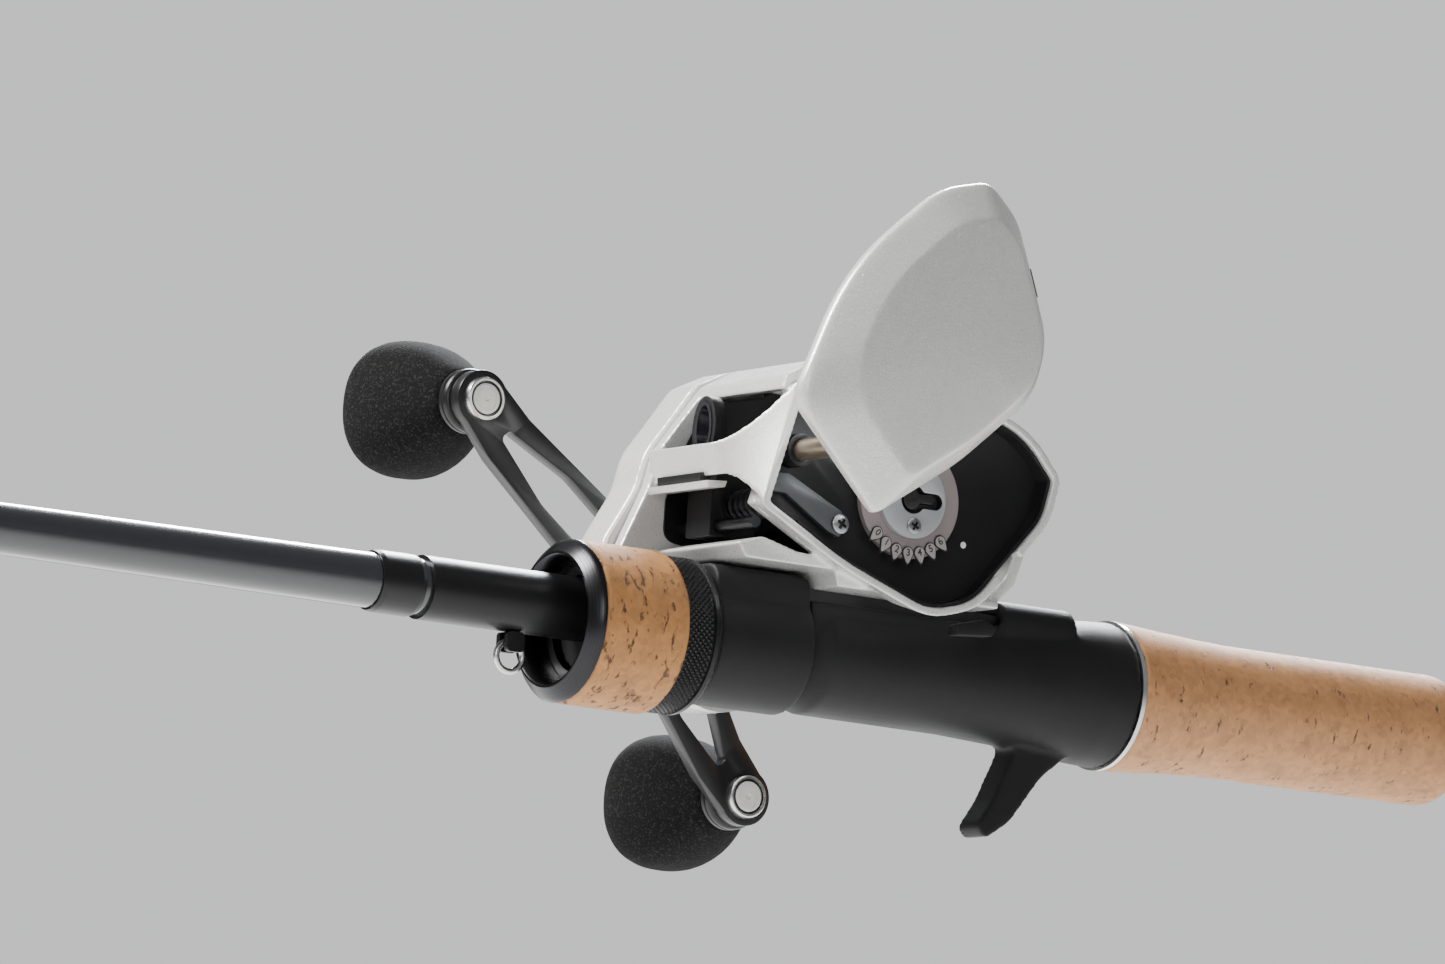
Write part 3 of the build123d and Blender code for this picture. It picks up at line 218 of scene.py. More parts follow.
# ------ finishes
@dataclass(frozen=True)
class Finish:
    """What every finish has: a name, a record slot and the shader's plain constants.

    Depths are in millimetres, and sizes are cells to a metre.
    """

    name: str
    slot: str
    colour: Colour
    roughness: float = 0.5
    metallic: float = 0.0
    coat: float = 0.0
    coat_roughness: float = 0.05
    grain_size: float = 2500.0
    grain_depth: float = 0.02
    smudge: float = 0.08
    variation: float = 0.12
    specular: float = 0.5

    def material(self) -> bpy.types.Material:
        """Returns the material, made once and then reused."""
        label = f"{self.name}_finish"
        made = bpy.data.materials.get(label)
        if made:
            return made
        made = bpy.data.materials.new(label)
        made.use_nodes = True
        tree = NodeTree(made.node_tree)
        shader = made.node_tree.nodes["Principled BSDF"]
        for socket, value in (
            ("Base Color", (*self.colour, 1)), ("Metallic", self.metallic), ("Roughness", self.roughness),
            ("Coat Weight", self.coat), ("Coat Roughness", self.coat_roughness),
            ("Specular IOR Level", self.specular),
        ):
            shader.inputs[socket].default_value = value
        position = tree.add("ShaderNodeTexCoord").outputs["Object"]
        self.dress(tree, shader, position)
        return made

    def shade(self, factor: float) -> Colour:
        """The base colour, lighter or darker by a factor."""
        return tuple(min(1.0, channel * factor) for channel in self.colour)

    def worn(self, tree: NodeTree, smudge: Socket) -> Socket:
        """Returns a roughness that varies with the smudges."""
        return tree.spread(smudge, max(0.02, self.roughness - self.smudge), self.roughness + self.smudge)

    def toned(self, tree: NodeTree, value: Socket, low: float, high: float) -> Socket:
        """Returns the base colour, a little darker where the value is low and lighter where it's high."""
        dark, pale = self.shade(1 - self.variation), self.shade(1 + self.variation)
        return tree.ramp(value, [(low, dark), (high, pale)])

    def dress(self, tree: NodeTree, shader: bpy.types.Node, position: Socket) -> None:
        """Adds fine grain, slow smudges in the roughness and a little tone variation."""
        grain = Groups.GRAIN.place(tree, Vector=position, Size=self.grain_size)
        smudge = grain.outputs["Smudge"]
        tree.join(shader, {
            "Roughness": self.worn(tree, smudge),
            "Base Color": self.toned(tree, smudge, 0.3, 0.7),
            "Normal": tree.bump(grain.outputs["Height"], self.grain_depth),
        })


@dataclass(frozen=True)
class PearlPaint(Finish):
    """White pearl paint with fine metal flake."""

    flake_size: float = 4200.0
    flake_depth: float = 0.012
    sparkle_tone: float = 1.35
    sparkle_roughness: float = 0.12

    def dress(self, tree: NodeTree, shader: bpy.types.Node, position: Socket) -> None:
        """Each flake has its own tone, tilt and shine."""
        flake = Groups.FLAKE.place(tree, Vector=position, Size=self.flake_size)
        sparkle = flake.outputs["Sparkle"]
        tree.join(shader, {
            "Base Color": tree.ramp(sparkle, [(0.0, self.colour), (1.0, self.shade(self.sparkle_tone))]),
            "Roughness": tree.spread(sparkle, self.roughness, self.sparkle_roughness),
            "Normal": tree.bump(flake.outputs["Value"], self.flake_depth),
        })


@dataclass(frozen=True)
class Cork(Finish):
    """Sanded natural cork with dark pits."""

    pits: float = 0.06
    dark: Colour = (0.10, 0.045, 0.02)

    def dress(self, tree: NodeTree, shader: bpy.types.Node, position: Socket) -> None:
        """Granules vary in tone; pits and cracks are dark and sunk."""
        cork = Groups.CORK.place(tree, Vector=position, Pits=self.pits)
        tones = [(0.25, self.shade(0.72)), (0.55, self.colour), (0.95, self.shade(1.28))]
        body = tree.ramp(cork.outputs["Tone"], tones)
        mix = tree.add("ShaderNodeMix", {"Factor": cork.outputs["Pit"]}, data_type="RGBA")
        plain, sunk = (socket for socket in mix.inputs if socket.type == "RGBA")
        tree.tree.links.new(body, plain)
        sunk.default_value = (*self.dark, 1)
        tree.join(shader, {
            "Base Color": next(socket for socket in mix.outputs if socket.type == "RGBA"),
            "Normal": tree.bump(cork.outputs["Height"], self.grain_depth),
        })


@dataclass(frozen=True)
class Foam(Finish):
    """Closed-cell foam, speckled with paler cells."""

    speckle: Colour = (0.022, 0.022, 0.022)

    def dress(self, tree: NodeTree, shader: bpy.types.Node, position: Socket) -> None:
        """Cells vary in tone and stand in a fine relief."""
        cell = Groups.FLAKE.place(tree, Vector=position, Size=self.grain_size).outputs["Value"]
        tones = [(0.0, self.shade(0.6)), (0.75, self.colour), (1.0, self.speckle)]
        normal = tree.bump(cell, self.grain_depth)
        tree.join(shader, {"Base Color": tree.ramp(cell, tones), "Normal": normal})


@dataclass(frozen=True)
class Banded(Finish):
    """A surface with fine bands around the rod, as thread, lathe lines or a blank's tape marks."""

    bands: float = 3000.0

    def dress(self, tree: NodeTree, shader: bpy.types.Node, position: Socket) -> None:
        """Bands follow the distance along the rod."""
        band = tree.add(
            "ShaderNodeTexWave", {"Vector": position, "Scale": self.bands / 20, "Distortion": 0.4},
            wave_type="BANDS", bands_direction="X",
        ).outputs["Fac"]
        grain = Groups.GRAIN.place(tree, Vector=position, Size=self.grain_size)
        tree.join(shader, {
            "Base Color": self.toned(tree, band, 0.0, 1.0),
            "Roughness": self.worn(tree, grain.outputs["Smudge"]),
            "Normal": tree.bump(band, self.grain_depth),
        })


PEARL = PearlPaint("pearl_white_paint", "pearl_white", (0.70, 0.70, 0.69), 0.36, 0.35, coat=0.5,
                   coat_roughness=0.10)
CORK_FORE = Cork("cork_fore", "cork", (0.37, 0.17, 0.055), 0.70, pits=0.125, grain_depth=0.12)
CORK_REAR = Cork("cork_rear", "cork", (0.42, 0.205, 0.085), 0.62, pits=0.085, grain_depth=0.07)
BLANK = Banded("graphite_blank", "gloss_blank", (0.022, 0.023, 0.028), 0.22, coat=1.0, coat_roughness=0.05,
               bands=9000.0, grain_depth=0.0015, variation=0.15, smudge=0.03)
SATIN_BLACK = Finish("satin_black", "matte_black", (0.007, 0.007, 0.008), 0.36, grain_depth=0.004,
                     specular=0.3)
MATTE_BLACK = Finish("matte_black_plastic", "matte_black", (0.010, 0.010, 0.011), 0.55,
                     grain_depth=0.015, specular=0.22)
GLOSS_BLACK = Finish("gloss_black", "black_alloy", (0.006, 0.006, 0.007), 0.34, smudge=0.05,
                     grain_depth=0.002, specular=0.4)
ANODISED = Finish("black_anodised", "dark_trim", (0.035, 0.036, 0.040), 0.30, 0.85, grain_depth=0.006)
SILVER_BLACK = Banded("turned_dark_metal", "dark_trim", (0.035, 0.035, 0.038), 0.26, 1.0, bands=16000.0,
                      grain_depth=0.003)
GREY_METAL = Finish("grey_satin_metal", "bright_metal", (0.085, 0.09, 0.095), 0.5, 0.6, grain_depth=0.008)
BRIGHT = Finish("bright_metal", "bright_metal", (0.70, 0.70, 0.69), 0.22, 1.0, grain_depth=0.004)
TAN_METAL = Finish("tan_pin_metal", "bright_metal", (0.30, 0.25, 0.19), 0.35, 0.9, grain_depth=0.005)
SCREW_METAL = Finish("screw_metal", "bright_metal", (0.32, 0.32, 0.33), 0.28, 1.0, grain_depth=0.004)
PALE_DISC = Finish("pale_disc", "dial_grey", (0.66, 0.66, 0.62), 0.45, 0.25, grain_depth=0.008)
DIAL_GREY = Finish("dial_light_grey", "dial_grey", (0.36, 0.37, 0.385), 0.40, 0.45, grain_depth=0.006)
DIAL_PINK = Finish("dial_rose_grey", "dial_grey", (0.24, 0.205, 0.205), 0.42, 0.25, grain_depth=0.006)
TAB_GREY = Finish("dial_tab_grey", "dial_grey", (0.30, 0.28, 0.28), 0.45, 0.15, grain_depth=0.006)
# painted shade: a near-black finish laid where recesses and overhangs fall into shade, in the brake disc's
# keyhole, the screws' cross recesses and the sheets under the front bar and the hood
PAINTED_SHADE = Finish("painted_shade_black", "dial_grey", (0.008, 0.008, 0.008), 0.35)
BRASS = Finish("cut_brass", "brass_gear", (0.70, 0.50, 0.24), 0.30, 1.0)
FIBRE = Finish("drag_fibre", "drag_fibre", (0.03, 0.03, 0.03), 0.7, grain_size=1800, grain_depth=0.05)
NYLON = Finish("white_nylon", "white_nylon", (0.80, 0.80, 0.78), 0.45)
CERAMIC = Finish("polished_ceramic", "ring_insert", (0.02, 0.02, 0.025), 0.12, coat=0.4, smudge=0.03)
THREAD = Banded("thread_wrap", "thread", (0.020, 0.020, 0.024), 0.16, coat=1.0, bands=26000.0, variation=0.5,
                grain_depth=0.02)
RUBBER = Finish("butt_rubber", "butt_rubber", (0.02, 0.02, 0.02), 0.7, grain_depth=0.04)
EVA = Foam("eva_foam", "eva_foam", (0.007, 0.007, 0.0072), 0.92, grain_size=3200, grain_depth=0.1,
           specular=0.12)
INK = Finish("black_print", "dial_grey", (0.012, 0.012, 0.012), 0.5)


# ------ modelling helpers
def joint_point(name: str) -> Vector:
    """Where a joint of the frame is."""
    return Vector(next(j for j in frame["joints"] if j["name"] == name)["pos_m"])


def merged_copy(node: str) -> BMesh:
    """A CAD node's mesh as a bmesh with its doubles merged."""
    bm = bmesh.new()
    bm.from_mesh(frame["nodes"][node].data)
    bmesh.ops.remove_doubles(bm, verts=bm.verts, dist=1e-6)
    return bm


def mesh_of(bm: BMesh, name: str) -> bpy.types.Mesh:
    """Turns a bmesh into a mesh, and frees it."""
    mesh = bpy.data.meshes.new(name)
    bm.to_mesh(mesh)
    bm.free()
    return mesh


def placed(name: str, data: bpy.types.ID) -> bpy.types.Object:
    """Makes an object of some data and links it to the scene."""
    thing = bpy.data.objects.new(name, data)
    bpy.context.scene.collection.objects.link(thing)
    return thing


def dress(node: str, finish: Finish) -> None:
    """Gives a CAD node a finish."""
    mesh = frame["nodes"][node].data
    mesh.materials.clear()
    mesh.materials.append(finish.material())
    log.info("%s: dressed in %s", node, finish.name)


def finished(
    name: str, bm: BMesh, finish: Finish, body: str, replaces: tuple[str, ...] = (),
    crisp: float = 40.0, levels: int = 0,
) -> bpy.types.Object:
    """Makes a piece of a bmesh, in its finish, and puts it on its body.

    Args:
        name: the piece's name.
        bm: its mesh in the frame, freed here.
        finish: its finish.
        body: the CAD body that it rides on.
        replaces: CAD nodes that it stands for.
        crisp: edges sharper than this many degrees stay sharp in the shading.
        levels: levels of subdivision.

    Returns:
        The piece.
    """
    mesh = mesh_of(bm, name)
    piece = placed(name, mesh)
    mesh.materials.append(finish.material())
    mesh.shade_smooth()
    if crisp < 180:
        mesh.set_sharp_from_angle(angle=math.radians(crisp))
    if levels:
        smooth = piece.modifiers.new("subdivision", "SUBSURF")
        smooth.levels = smooth.render_levels = levels
    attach(piece, body)
    if replaces:
        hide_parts(*replaces)
    log.info("%s: %d faces on %s", name, len(mesh.polygons), body)
    return piece


def apply_modifiers(piece: bpy.types.Object) -> None:
    """Bakes a piece's modifiers into its mesh."""
    bpy.context.view_layer.update()
    solid = piece.evaluated_get(bpy.context.evaluated_depsgraph_get())
    made = bpy.data.meshes.new_from_object(solid)
    old, piece.data = piece.data, made
    piece.modifiers.clear()
    bpy.data.meshes.remove(old)


def cast_copy(node: str, name: str, finish: Finish, body: str, voxel: float, rounds: int) -> bpy.types.Object:
    """A casting's soft-edged skin over a CAD node.

    Args:
        node: the CAD node that it stands for.
        name: the new piece's name.
        finish: its finish.
        body: the body that it rides on.
        voxel: size of the remesh in millimetres.
        rounds: how many times the surface is eased.

    Returns:
        The piece.
    """
    piece = finished(name, merged_copy(node), finish, body, (node,), crisp=180)
    remesh = piece.modifiers.new("remesh", "REMESH")
    remesh.mode = "VOXEL"
    remesh.voxel_size = voxel * MM
    remesh.use_smooth_shade = True
    ease = piece.modifiers.new("ease", "SMOOTH")
    ease.factor = 0.5
    ease.iterations = rounds
    apply_modifiers(piece)
    piece.data.shade_smooth()
    log.info("%s: %d faces after the remesh", name, len(piece.data.polygons))
    return piece


def softened(
    node: str, finish: Finish, body: str, width: float, angle: float = 38.0, name: str | None = None
) -> bpy.types.Object:
    """A copy of a CAD node with its sharp edges broken.

    Args:
        node: the CAD node that it stands for.
        finish: its finish.
        body: the body that it rides on.
        width: the edge break in millimetres.
        angle: edges sharper than this many degrees are broken.
        name: the piece's name, or the node's with _skin.

    Returns:
        The piece.
    """
    bm = merged_copy(node)
    bmesh.ops.dissolve_limit(bm, angle_limit=math.radians(0.5), verts=bm.verts, edges=bm.edges)
    edges = [e for e in bm.edges if len(e.link_faces) == 2 and e.calc_face_angle(0) > math.radians(angle)]
    bmesh.ops.bevel(
        bm, geom=edges, offset=width * MM, offset_type="OFFSET", segments=2, profile=0.5, affect="EDGES",
        material=-1, clamp_overlap=True,
    )
    return finished(name or f"{node}_skin", bm, finish, body, (node,), crisp=30)


def spun(bm: BMesh, centre: Vector, axis: Vector, steps: int) -> BMesh:
    """Spins all that a bmesh holds a full turn about an axis, and welds it."""
    bmesh.ops.spin(
        bm, geom=list(bm.verts) + list(bm.edges), cent=centre, axis=axis, angle=math.tau, steps=steps,
        use_merge=True,
    )
    bmesh.ops.remove_doubles(bm, verts=bm.verts, dist=1e-7)
    bmesh.ops.recalc_face_normals(bm, faces=bm.faces)
    return bm


def lathe(profile: list[Point], centre: Vector, axis: Vector, steps: int = 96) -> BMesh:
    """Turns a profile about an axis.

    Args:
        profile: corners as (place along the axis, radius) in millimetres, in the frame's own numbers.
        centre: a point on the axis; its part along the axis is ignored.
        axis: the axis, X or Y.
        steps: steps of a full turn.

    Returns:
        The turned mesh.
    """
    bm = bmesh.new()
    base = centre - axis * centre.dot(axis)
    corners = [bm.verts.new(base + axis * (a * MM) + AXIS_Z * (r * MM)) for a, r in profile]
    for pair in zip(corners, corners[1:]):
        bm.edges.new(pair)
    return spun(bm, base, axis, steps)


def skin(rings: list[list[Vector]], open_start: bool = False) -> BMesh:
    """Bridges closed rings one after another and caps the ends.

    Args:
        rings: each ring's points, all of one count.
        open_start: whether the first ring stays open.

    Returns:
        The skinned mesh.
    """
    bm = bmesh.new()
    loops = []
    for ring in rings:
        verts = [bm.verts.new(point) for point in ring]
        loops.append([bm.edges.new((vert, verts[(i + 1) % len(verts)])) for i, vert in enumerate(verts)])
    for first, second in zip(loops, loops[1:]):
        bmesh.ops.bridge_loops(bm, edges=first + second)
    for end in loops[-1:] if open_start else (loops[0], loops[-1]):
        bmesh.ops.contextual_create(bm, geom=end)
    bmesh.ops.recalc_face_normals(bm, faces=bm.faces)
    return bm


def rounded_outline(points: list[Point], radii: list[float], steps: int = 6) -> list[Point]:
    """A closed outline with arcs at its corners.

    Args:
        points: the corners.
        radii: one radius for each corner.
        steps: steps of each arc.

    Returns:
        The outline's points.
    """
    outline = []
    for i, corner in enumerate(points):
        here = Vector(corner)
        back = Vector(points[i - 1]) - here
        ahead = Vector(points[(i + 1) % len(points)]) - here
        half = back.angle(ahead) / 2
        reach = min(radii[i] / math.tan(half), 0.48 * back.length, 0.48 * ahead.length)
        start, end = here + back.normalized() * reach, here + ahead.normalized() * reach
        for k in range(steps + 1):
            t = k / steps
            outline.append(tuple(start * (1 - t) ** 2 + here * 2 * t * (1 - t) + end * t * t))
    return outline


# ------ the rod
@dataclass
class Blank:
    """The blank with its sleeve, collar and hook keeper."""

    keeper_wire: float = 0.6

    def build(self) -> None:
        """Dresses the blank and bends the keeper's wire."""
        dress("rod_blank", BLANK)
        dress("blank_sleeve", SATIN_BLACK)
        dress("trim_collar", GLOSS_BLACK)
        dress("keeper_lug", SATIN_BLACK)
        self.keeper()

    def keeper(self) -> None:
        """The keeper is a ring of round wire."""
        low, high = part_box("hook_keeper")
        middle = (low + high) / 2
        loop = (high.x - low.x) / 2 - self.keeper_wire * MM
        bm = bmesh.new()
        ring = bmesh.ops.create_circle(bm, segments=14, radius=self.keeper_wire * MM)
        place = Matrix.Translation(middle + Vector((loop, 0, 0)))
        bmesh.ops.transform(bm, matrix=place, verts=ring["verts"])
        spun(bm, middle, AXIS_Y, 48)
        finished("hook_keeper_wire", bm, BRIGHT, "keeper", ("hook_keeper",))


@dataclass
class Guides:
    """The line guides, their wraps and the tip."""

    number: int = 5

    def build(self) -> None:
        """Dresses the guides and their thread."""
        for i in range(1, self.number + 1):
            softened(f"guide_frame_{i}", ANODISED, "rod", 0.15)
        dress("guide_rings", CERAMIC)
        dress("guide_wraps", THREAD)
        dress("tip_top", ANODISED)


@dataclass
class Grips:
    """Cork grips, their rings and the butt cap."""

    dent: float = 0.05
    fore_edge: float = 0.5
    fore_bore: float = 11.4
    rear_edge: float = 0.4
    rear_bore: float = 5.3
    slim: float = 12.8
    straight: int = 22
    crown: Point = (5.0, 4.2)

    def cork(self, node: str, name: str, profile: list[Point], finish: Cork, body: str) -> None:
        """A turned cork grip whose surface is a little uneven.

        Args:
            node: the CAD grip that it stands for.
            name: the piece's name.
            profile: its outline, as places along the rod and radii.
            finish: the cork.
            body: the body that it rides on.
        """
        bm = lathe(profile, ROD_AXIS, AXIS_X, 144)
        for vert in bm.verts:
            out = Vector((0, vert.co.y, vert.co.z))
            if out.length > 1e-5:
                wobble = noise.noise(vert.co * 260.0) - 0.5
                vert.co += out.normalized() * (self.dent * MM * (wobble - 0.5))
        finished(name, bm, finish, body, (node,), crisp=50)

    def fore(self) -> list[Point]:
        """The fore grip's outline: a plain barrel with its edges broken."""
        low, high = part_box("fore_grip")
        a, b, r = low.x / MM, high.x / MM, high.z / MM
        barrel = [(a + self.fore_edge + (b - a - 2 * self.fore_edge) * k / 24, r) for k in range(25)]
        rim = r - self.fore_edge
        return [(a, self.fore_bore), (a, rim), *barrel, (b, rim), (b, self.fore_bore)]

    def rear(self) -> list[Point]:
        """The rear grip's outline: a flare, a straight stretch and a crowned end."""
        low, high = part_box("rear_grip")
        a, b, big = low.x / MM, high.x / MM, high.z / MM
        flare = -self.straight - a
        outline = [(a, self.rear_bore), (a, big - self.rear_edge)]
        for k in range(33):
            x = a + self.rear_edge + flare * k / 32
            t = min(1.0, (x - a) / flare)
            outline.append((x, self.slim + (big - self.slim) * (1 - t) ** 2 * (1 + 0.6 * t)))
        outline += [(x, self.slim) for x in range(2 - self.straight, self.straight, 2)]
        length, drop = self.crown
        for k in range(11):
            t = k * math.pi / 20
            outline.append((self.straight + length * math.sin(t), self.slim - drop * (1 - math.cos(t))))
        return [*outline, (b, self.rear_bore)]

    def build(self) -> None:
        """Turns both grips and dresses the rest."""
        self.cork("fore_grip", "fore_grip_cork", self.fore(), CORK_FORE, "seat_nut")
        self.cork("rear_grip", "rear_grip_cork", self.rear(), CORK_REAR, "rod")
        dress("seat_ring", BRIGHT)
        dress("butt_cap", RUBBER)


@dataclass
class Seat:
    """The reel seat, its hood, lock nut and bezel."""

    knurl_pitch: float = 1.15
    knurl_height: float = 0.38
    nut_radius: float = 14.6
    knurl_from: float = -156.7
    knurl_to: float = -150.9
    sleeve_from: float = -171.5
    sleeve_radius: float = 11.3
    nut_bore: float = 9.1
    nut_end: float = -148.0
    bezel_outline: tuple[Point, ...] = (
        (-171.7, 11.25), (-171.7, 10.9), (-174.5, 11.0), (-177.3, 11.9), (-177.6, 12.2), (-177.6, 12.6),
        (-176.9, 13.5), (-176.0, 14.5), (-175.3, 15.1), (-175.02, 15.15), (-175.02, 11.25), (-171.7, 11.25),
    )

    def build(self) -> None:
        """Moulds the seat, and turns and knurls the nut."""
        cast_copy("reel_seat", "reel_seat_body", MATTE_BLACK, "rod", 0.55, 4)
        cast_copy("moving_hood", "moving_hood_body", MATTE_BLACK, "seat_hood", 0.4, 4)
        dress("reel_foot", GLOSS_BLACK)
        self.nut()
        self.bezel()

    def nut(self) -> None:
        """The lock nut has a band of diamond knurls between two plain rims."""
        floor = self.nut_radius - self.knurl_height
        a, b = self.knurl_from, self.knurl_to
        profile = [
            (self.sleeve_from, self.nut_bore), (self.sleeve_from, self.sleeve_radius),
            (a - 0.1, self.sleeve_radius), (a - 0.1, floor - 0.1), (a, floor), (b, floor),
            (b + 0.1, self.nut_radius), (b + 0.9, self.nut_radius), (self.nut_end - 0.9, 13.7),
            (self.nut_end, 12.3), (self.nut_end, self.nut_bore),
        ]
        bm = lathe(profile, ROD_AXIS, AXIS_X, 96)
        around = round(math.tau * floor / self.knurl_pitch)
        rows = round((b - a) / self.knurl_pitch)
        band = bmesh.new()
        bmesh.ops.create_grid(band, x_segments=around, y_segments=rows, size=0.5)
        squares = list(band.edges)
        bmesh.ops.poke(band, faces=list(band.faces), offset=0.0)
        bmesh.ops.dissolve_edges(band, edges=[e for e in squares if len(e.link_faces) == 2], use_verts=False)
        diamonds = [f for f in band.faces if len(f.verts) == 4]
        peaks = set(bmesh.ops.poke(band, faces=diamonds, offset=0.0)["verts"])
        for vert in band.verts:
            turn = (vert.co.x + 0.5) * math.tau
            radius = (floor + (self.knurl_height if vert in peaks else 0.0)) * MM
            x = (a + (vert.co.y + 0.5) * (b - a)) * MM
            vert.co = Vector((x, radius * math.cos(turn), radius * math.sin(turn)))
        bmesh.ops.remove_doubles(band, verts=band.verts, dist=1e-6)
        knurl = mesh_of(band, "knurl")
        bm.from_mesh(knurl)
        bpy.data.meshes.remove(knurl)
        bmesh.ops.recalc_face_normals(bm, faces=bm.faces)
        finished("lock_nut_knurled", bm, SATIN_BLACK, "seat_nut", ("lock_nut",), crisp=25)

    def bezel(self) -> None:
        """The bezel in front of the fore grip is a turned cone with a bright inner lip."""
        bezel = lathe(self.bezel_outline, ROD_AXIS, AXIS_X, 128)
        finished("fore_bezel_turned", bezel, SILVER_BLACK, "seat_nut", ("fore_bezel",), crisp=35)


# ------ the reel
@dataclass
class Cover:
    """The side cover: a faceted shell with soft ridges, swung open on its pin."""

    outline: tuple[Point, ...] = (
        (-34.6, -5.4), (-27.2, 20.6), (0, 24.4), (24.5, 15.8), (32, 7.7), (30, -1), (15, -19), (4, -22),
        (-16, -15),
    )
    radii: tuple[float, ...] = (1.5, 6, 75, 20, 3.5, 12, 14, 14, 60)
    ridge_radii: tuple[float, ...] = (4, 34, 75, 20, 6, 16, 18, 18, 60)
    ridge_depth: float = 6.5
    pin: Point = (-26.5, 5.7)
    turn: float = 61.0
    wall: float = 1.3
    heart: Point = (-2.0, 1.0)
    # each ring: scale of the outline about the heart, depth, and shift of the ring along and up
    rings: tuple[tuple[float, float, float, float], ...] = (
        (1.0, 0.0, 0, 0), (1.0, 1.4, 0, 0), (1.0, 2.1, 0, 0), (0.99, 2.7, 0, 0), (0.97, 3.15, 0.0, -0.1),
        (0.88, 4.9, 0.4, -0.9), (0.80, 6.45, 0.9, -1.6), (0.785, 6.7, 1.0, -1.7), (0.765, 6.9, 1.1, -1.8),
        (0.70, 7.15, 1.1, -1.8), (0.50, 7.8, 0.8, -1.4), (0.28, 8.35, 0.4, -0.8), (0.10, 8.58, 0, 0),
        (0.03, 8.6, 0, 0),
    )
    boss_outline: tuple[Point, ...] = (
        (-36.6, 3.4), (-36.6, 2.1), (-38.6, 2.1), (-38.6, 3.4), (-36.6, 3.4),
    )

    def build(self) -> None:
        """Draws the rings of the shell, joins them and gives the wall its thickness."""
        hinge = joint_point("cover_swing")
        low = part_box("side_cover")[0]
        rim = rounded_outline(self.outline, self.radii)
        ridge = rounded_outline(self.outline, self.ridge_radii)
        a = math.radians(self.turn)
        crown = self.rings[-1][1]
        rings = []
        for scale, depth, shift_u, shift_w in self.rings:
            ring = []
            ease = min(1.0, depth / self.ridge_depth)
            for edge, soft in zip(rim, ridge):
                u, w = Vector(edge).lerp(Vector(soft), ease)
                p = self.heart[0] + (u - self.heart[0]) * scale + shift_u - self.pin[0]
                q = self.heart[1] + (w - self.heart[1]) * scale + shift_w - self.pin[1]
                x = hinge.x + (p * math.cos(a) - q * math.sin(a)) * MM
                z = hinge.z + (p * math.sin(a) + q * math.cos(a)) * MM
                ring.append(Vector((x, low.y + (crown - depth) * MM, z)))
            rings.append(ring)
        bm = skin(rings, open_start=True)
        cap = max(bm.faces, key=lambda face: len(face.verts))
        if cap.normal.y > 0:
            bmesh.ops.reverse_faces(bm, faces=bm.faces)
        piece = finished("side_cover_shell", bm, PEARL, "side_cover", ("side_cover",), crisp=180)
        thick = piece.modifiers.new("wall", "SOLIDIFY")
        thick.thickness = self.wall * MM
        thick.offset = -1
        thick.use_even_offset = False
        smooth = piece.modifiers.new("subdivision", "SUBSURF")
        smooth.levels = smooth.render_levels = 1
        boss = lathe(self.boss_outline, hinge, AXIS_Y, 40)
        finished("side_cover_boss", boss, PEARL, "side_cover")
        softened("cover_hook", MATTE_BLACK, "side_cover", 0.15)
        dress("hinge_pin", TAN_METAL)


@dataclass
class Housing:
    """The reel's frame, gear case and palm plate."""

    # painted shade: place, corner and outline of the black sheet on the handle side wall's inner face
    cheek_ends: Point = (12.2, 12.7)
    cheek_corner: float = 3.0
    cheek_outline: tuple[Point, ...] = (
        (-33.5, -9.5), (-33.5, -2.0), (-30.0, 8.0), (-25.5, 17.5), (-18.0, 21.0), (20.0, 21.0), (20.0, -15.0),
        (-14.0, -12.4),
    )
    inlay_edge: float = 0.12
    # each sheet: name, finish, section about the spool's axis, and its ends across the reel; the two black
    # sheets are painted shade under the front bar and under the hood, and the pearl one is the lip
    inlays: tuple[tuple, ...] = (
        ("bar_painted_shade", PAINTED_SHADE, [(-36.9, 1.6), (-33.0, 2.4), (-33.2, 0.1), (-36.6, -0.3)], -4.0, 10.5),
        ("bar_lip", PEARL, [(-37.5, -0.2), (-33.0, 0.2), (-33.4, -1.0), (-37.0, -1.5)], -7.5, 12.9),
        ("hood_painted_shade", PAINTED_SHADE, [(-25.0, 18.6), (-21.6, 20.4), (-21.2, 19.0), (-24.2, 17.0)], -4.5, 7.5),
    )

    def build(self) -> None:
        """Casts the frame and case in soft-edged pearl, and dresses what they hold."""
        cast_copy("reel_frame", "reel_frame_casting", PEARL, "rod", 0.36, 6)
        cast_copy("gear_case", "gear_case_casting", PEARL, "rod", 0.5, 6)
        dress("gear_plate", PEARL)
        softened("palm_plate", SATIN_BLACK, "rod", 0.2)
        softened("pin_keeper", GREY_METAL, "rod", 0.12)
        softened("cover_latch", MATTE_BLACK, "latch", 0.25)
        dress("brake_drum", BRIGHT)
        self.cheek()
        self.slots()

    def slab(self, section: list[Point], near: float, far: float) -> BMesh:
        """A bar across the reel, of a section drawn about the spool's axis.

        Args:
            section: the section's corners, along and up, in millimetres.
            near: its end toward the palm side.
            far: its end toward the handle.

        Returns:
            The bar's mesh.
        """
        spool = joint_point("spool_spin")
        return skin([
            [Vector((spool.x + u * MM, y * MM, spool.z + w * MM)) for u, w in section] for y in (near, far)
        ])

    def cheek(self) -> None:
        """A black sheet of painted shade on the inner face of the handle side wall, beside the spool and the
        line guide.
        """
        outline = rounded_outline(self.cheek_outline, [self.cheek_corner] * len(self.cheek_outline))
        finished("painted_shade_sheet", self.slab(outline, *self.cheek_ends), SATIN_BLACK, "rod", crisp=30)

    def slots(self) -> None:
        """Black sheets of painted shade under the front bar and under the hood, and the pearl lip below the
        first.
        """
        for name, finish, section, near, far in self.inlays:
            bm = self.slab(section, near, far)
            bmesh.ops.bevel(
                bm, geom=list(bm.edges), offset=self.inlay_edge * MM, segments=2, profile=0.5, affect="EDGES",
                material=-1, clamp_overlap=True,
            )
            finished(name, bm, finish, "rod", crisp=30)


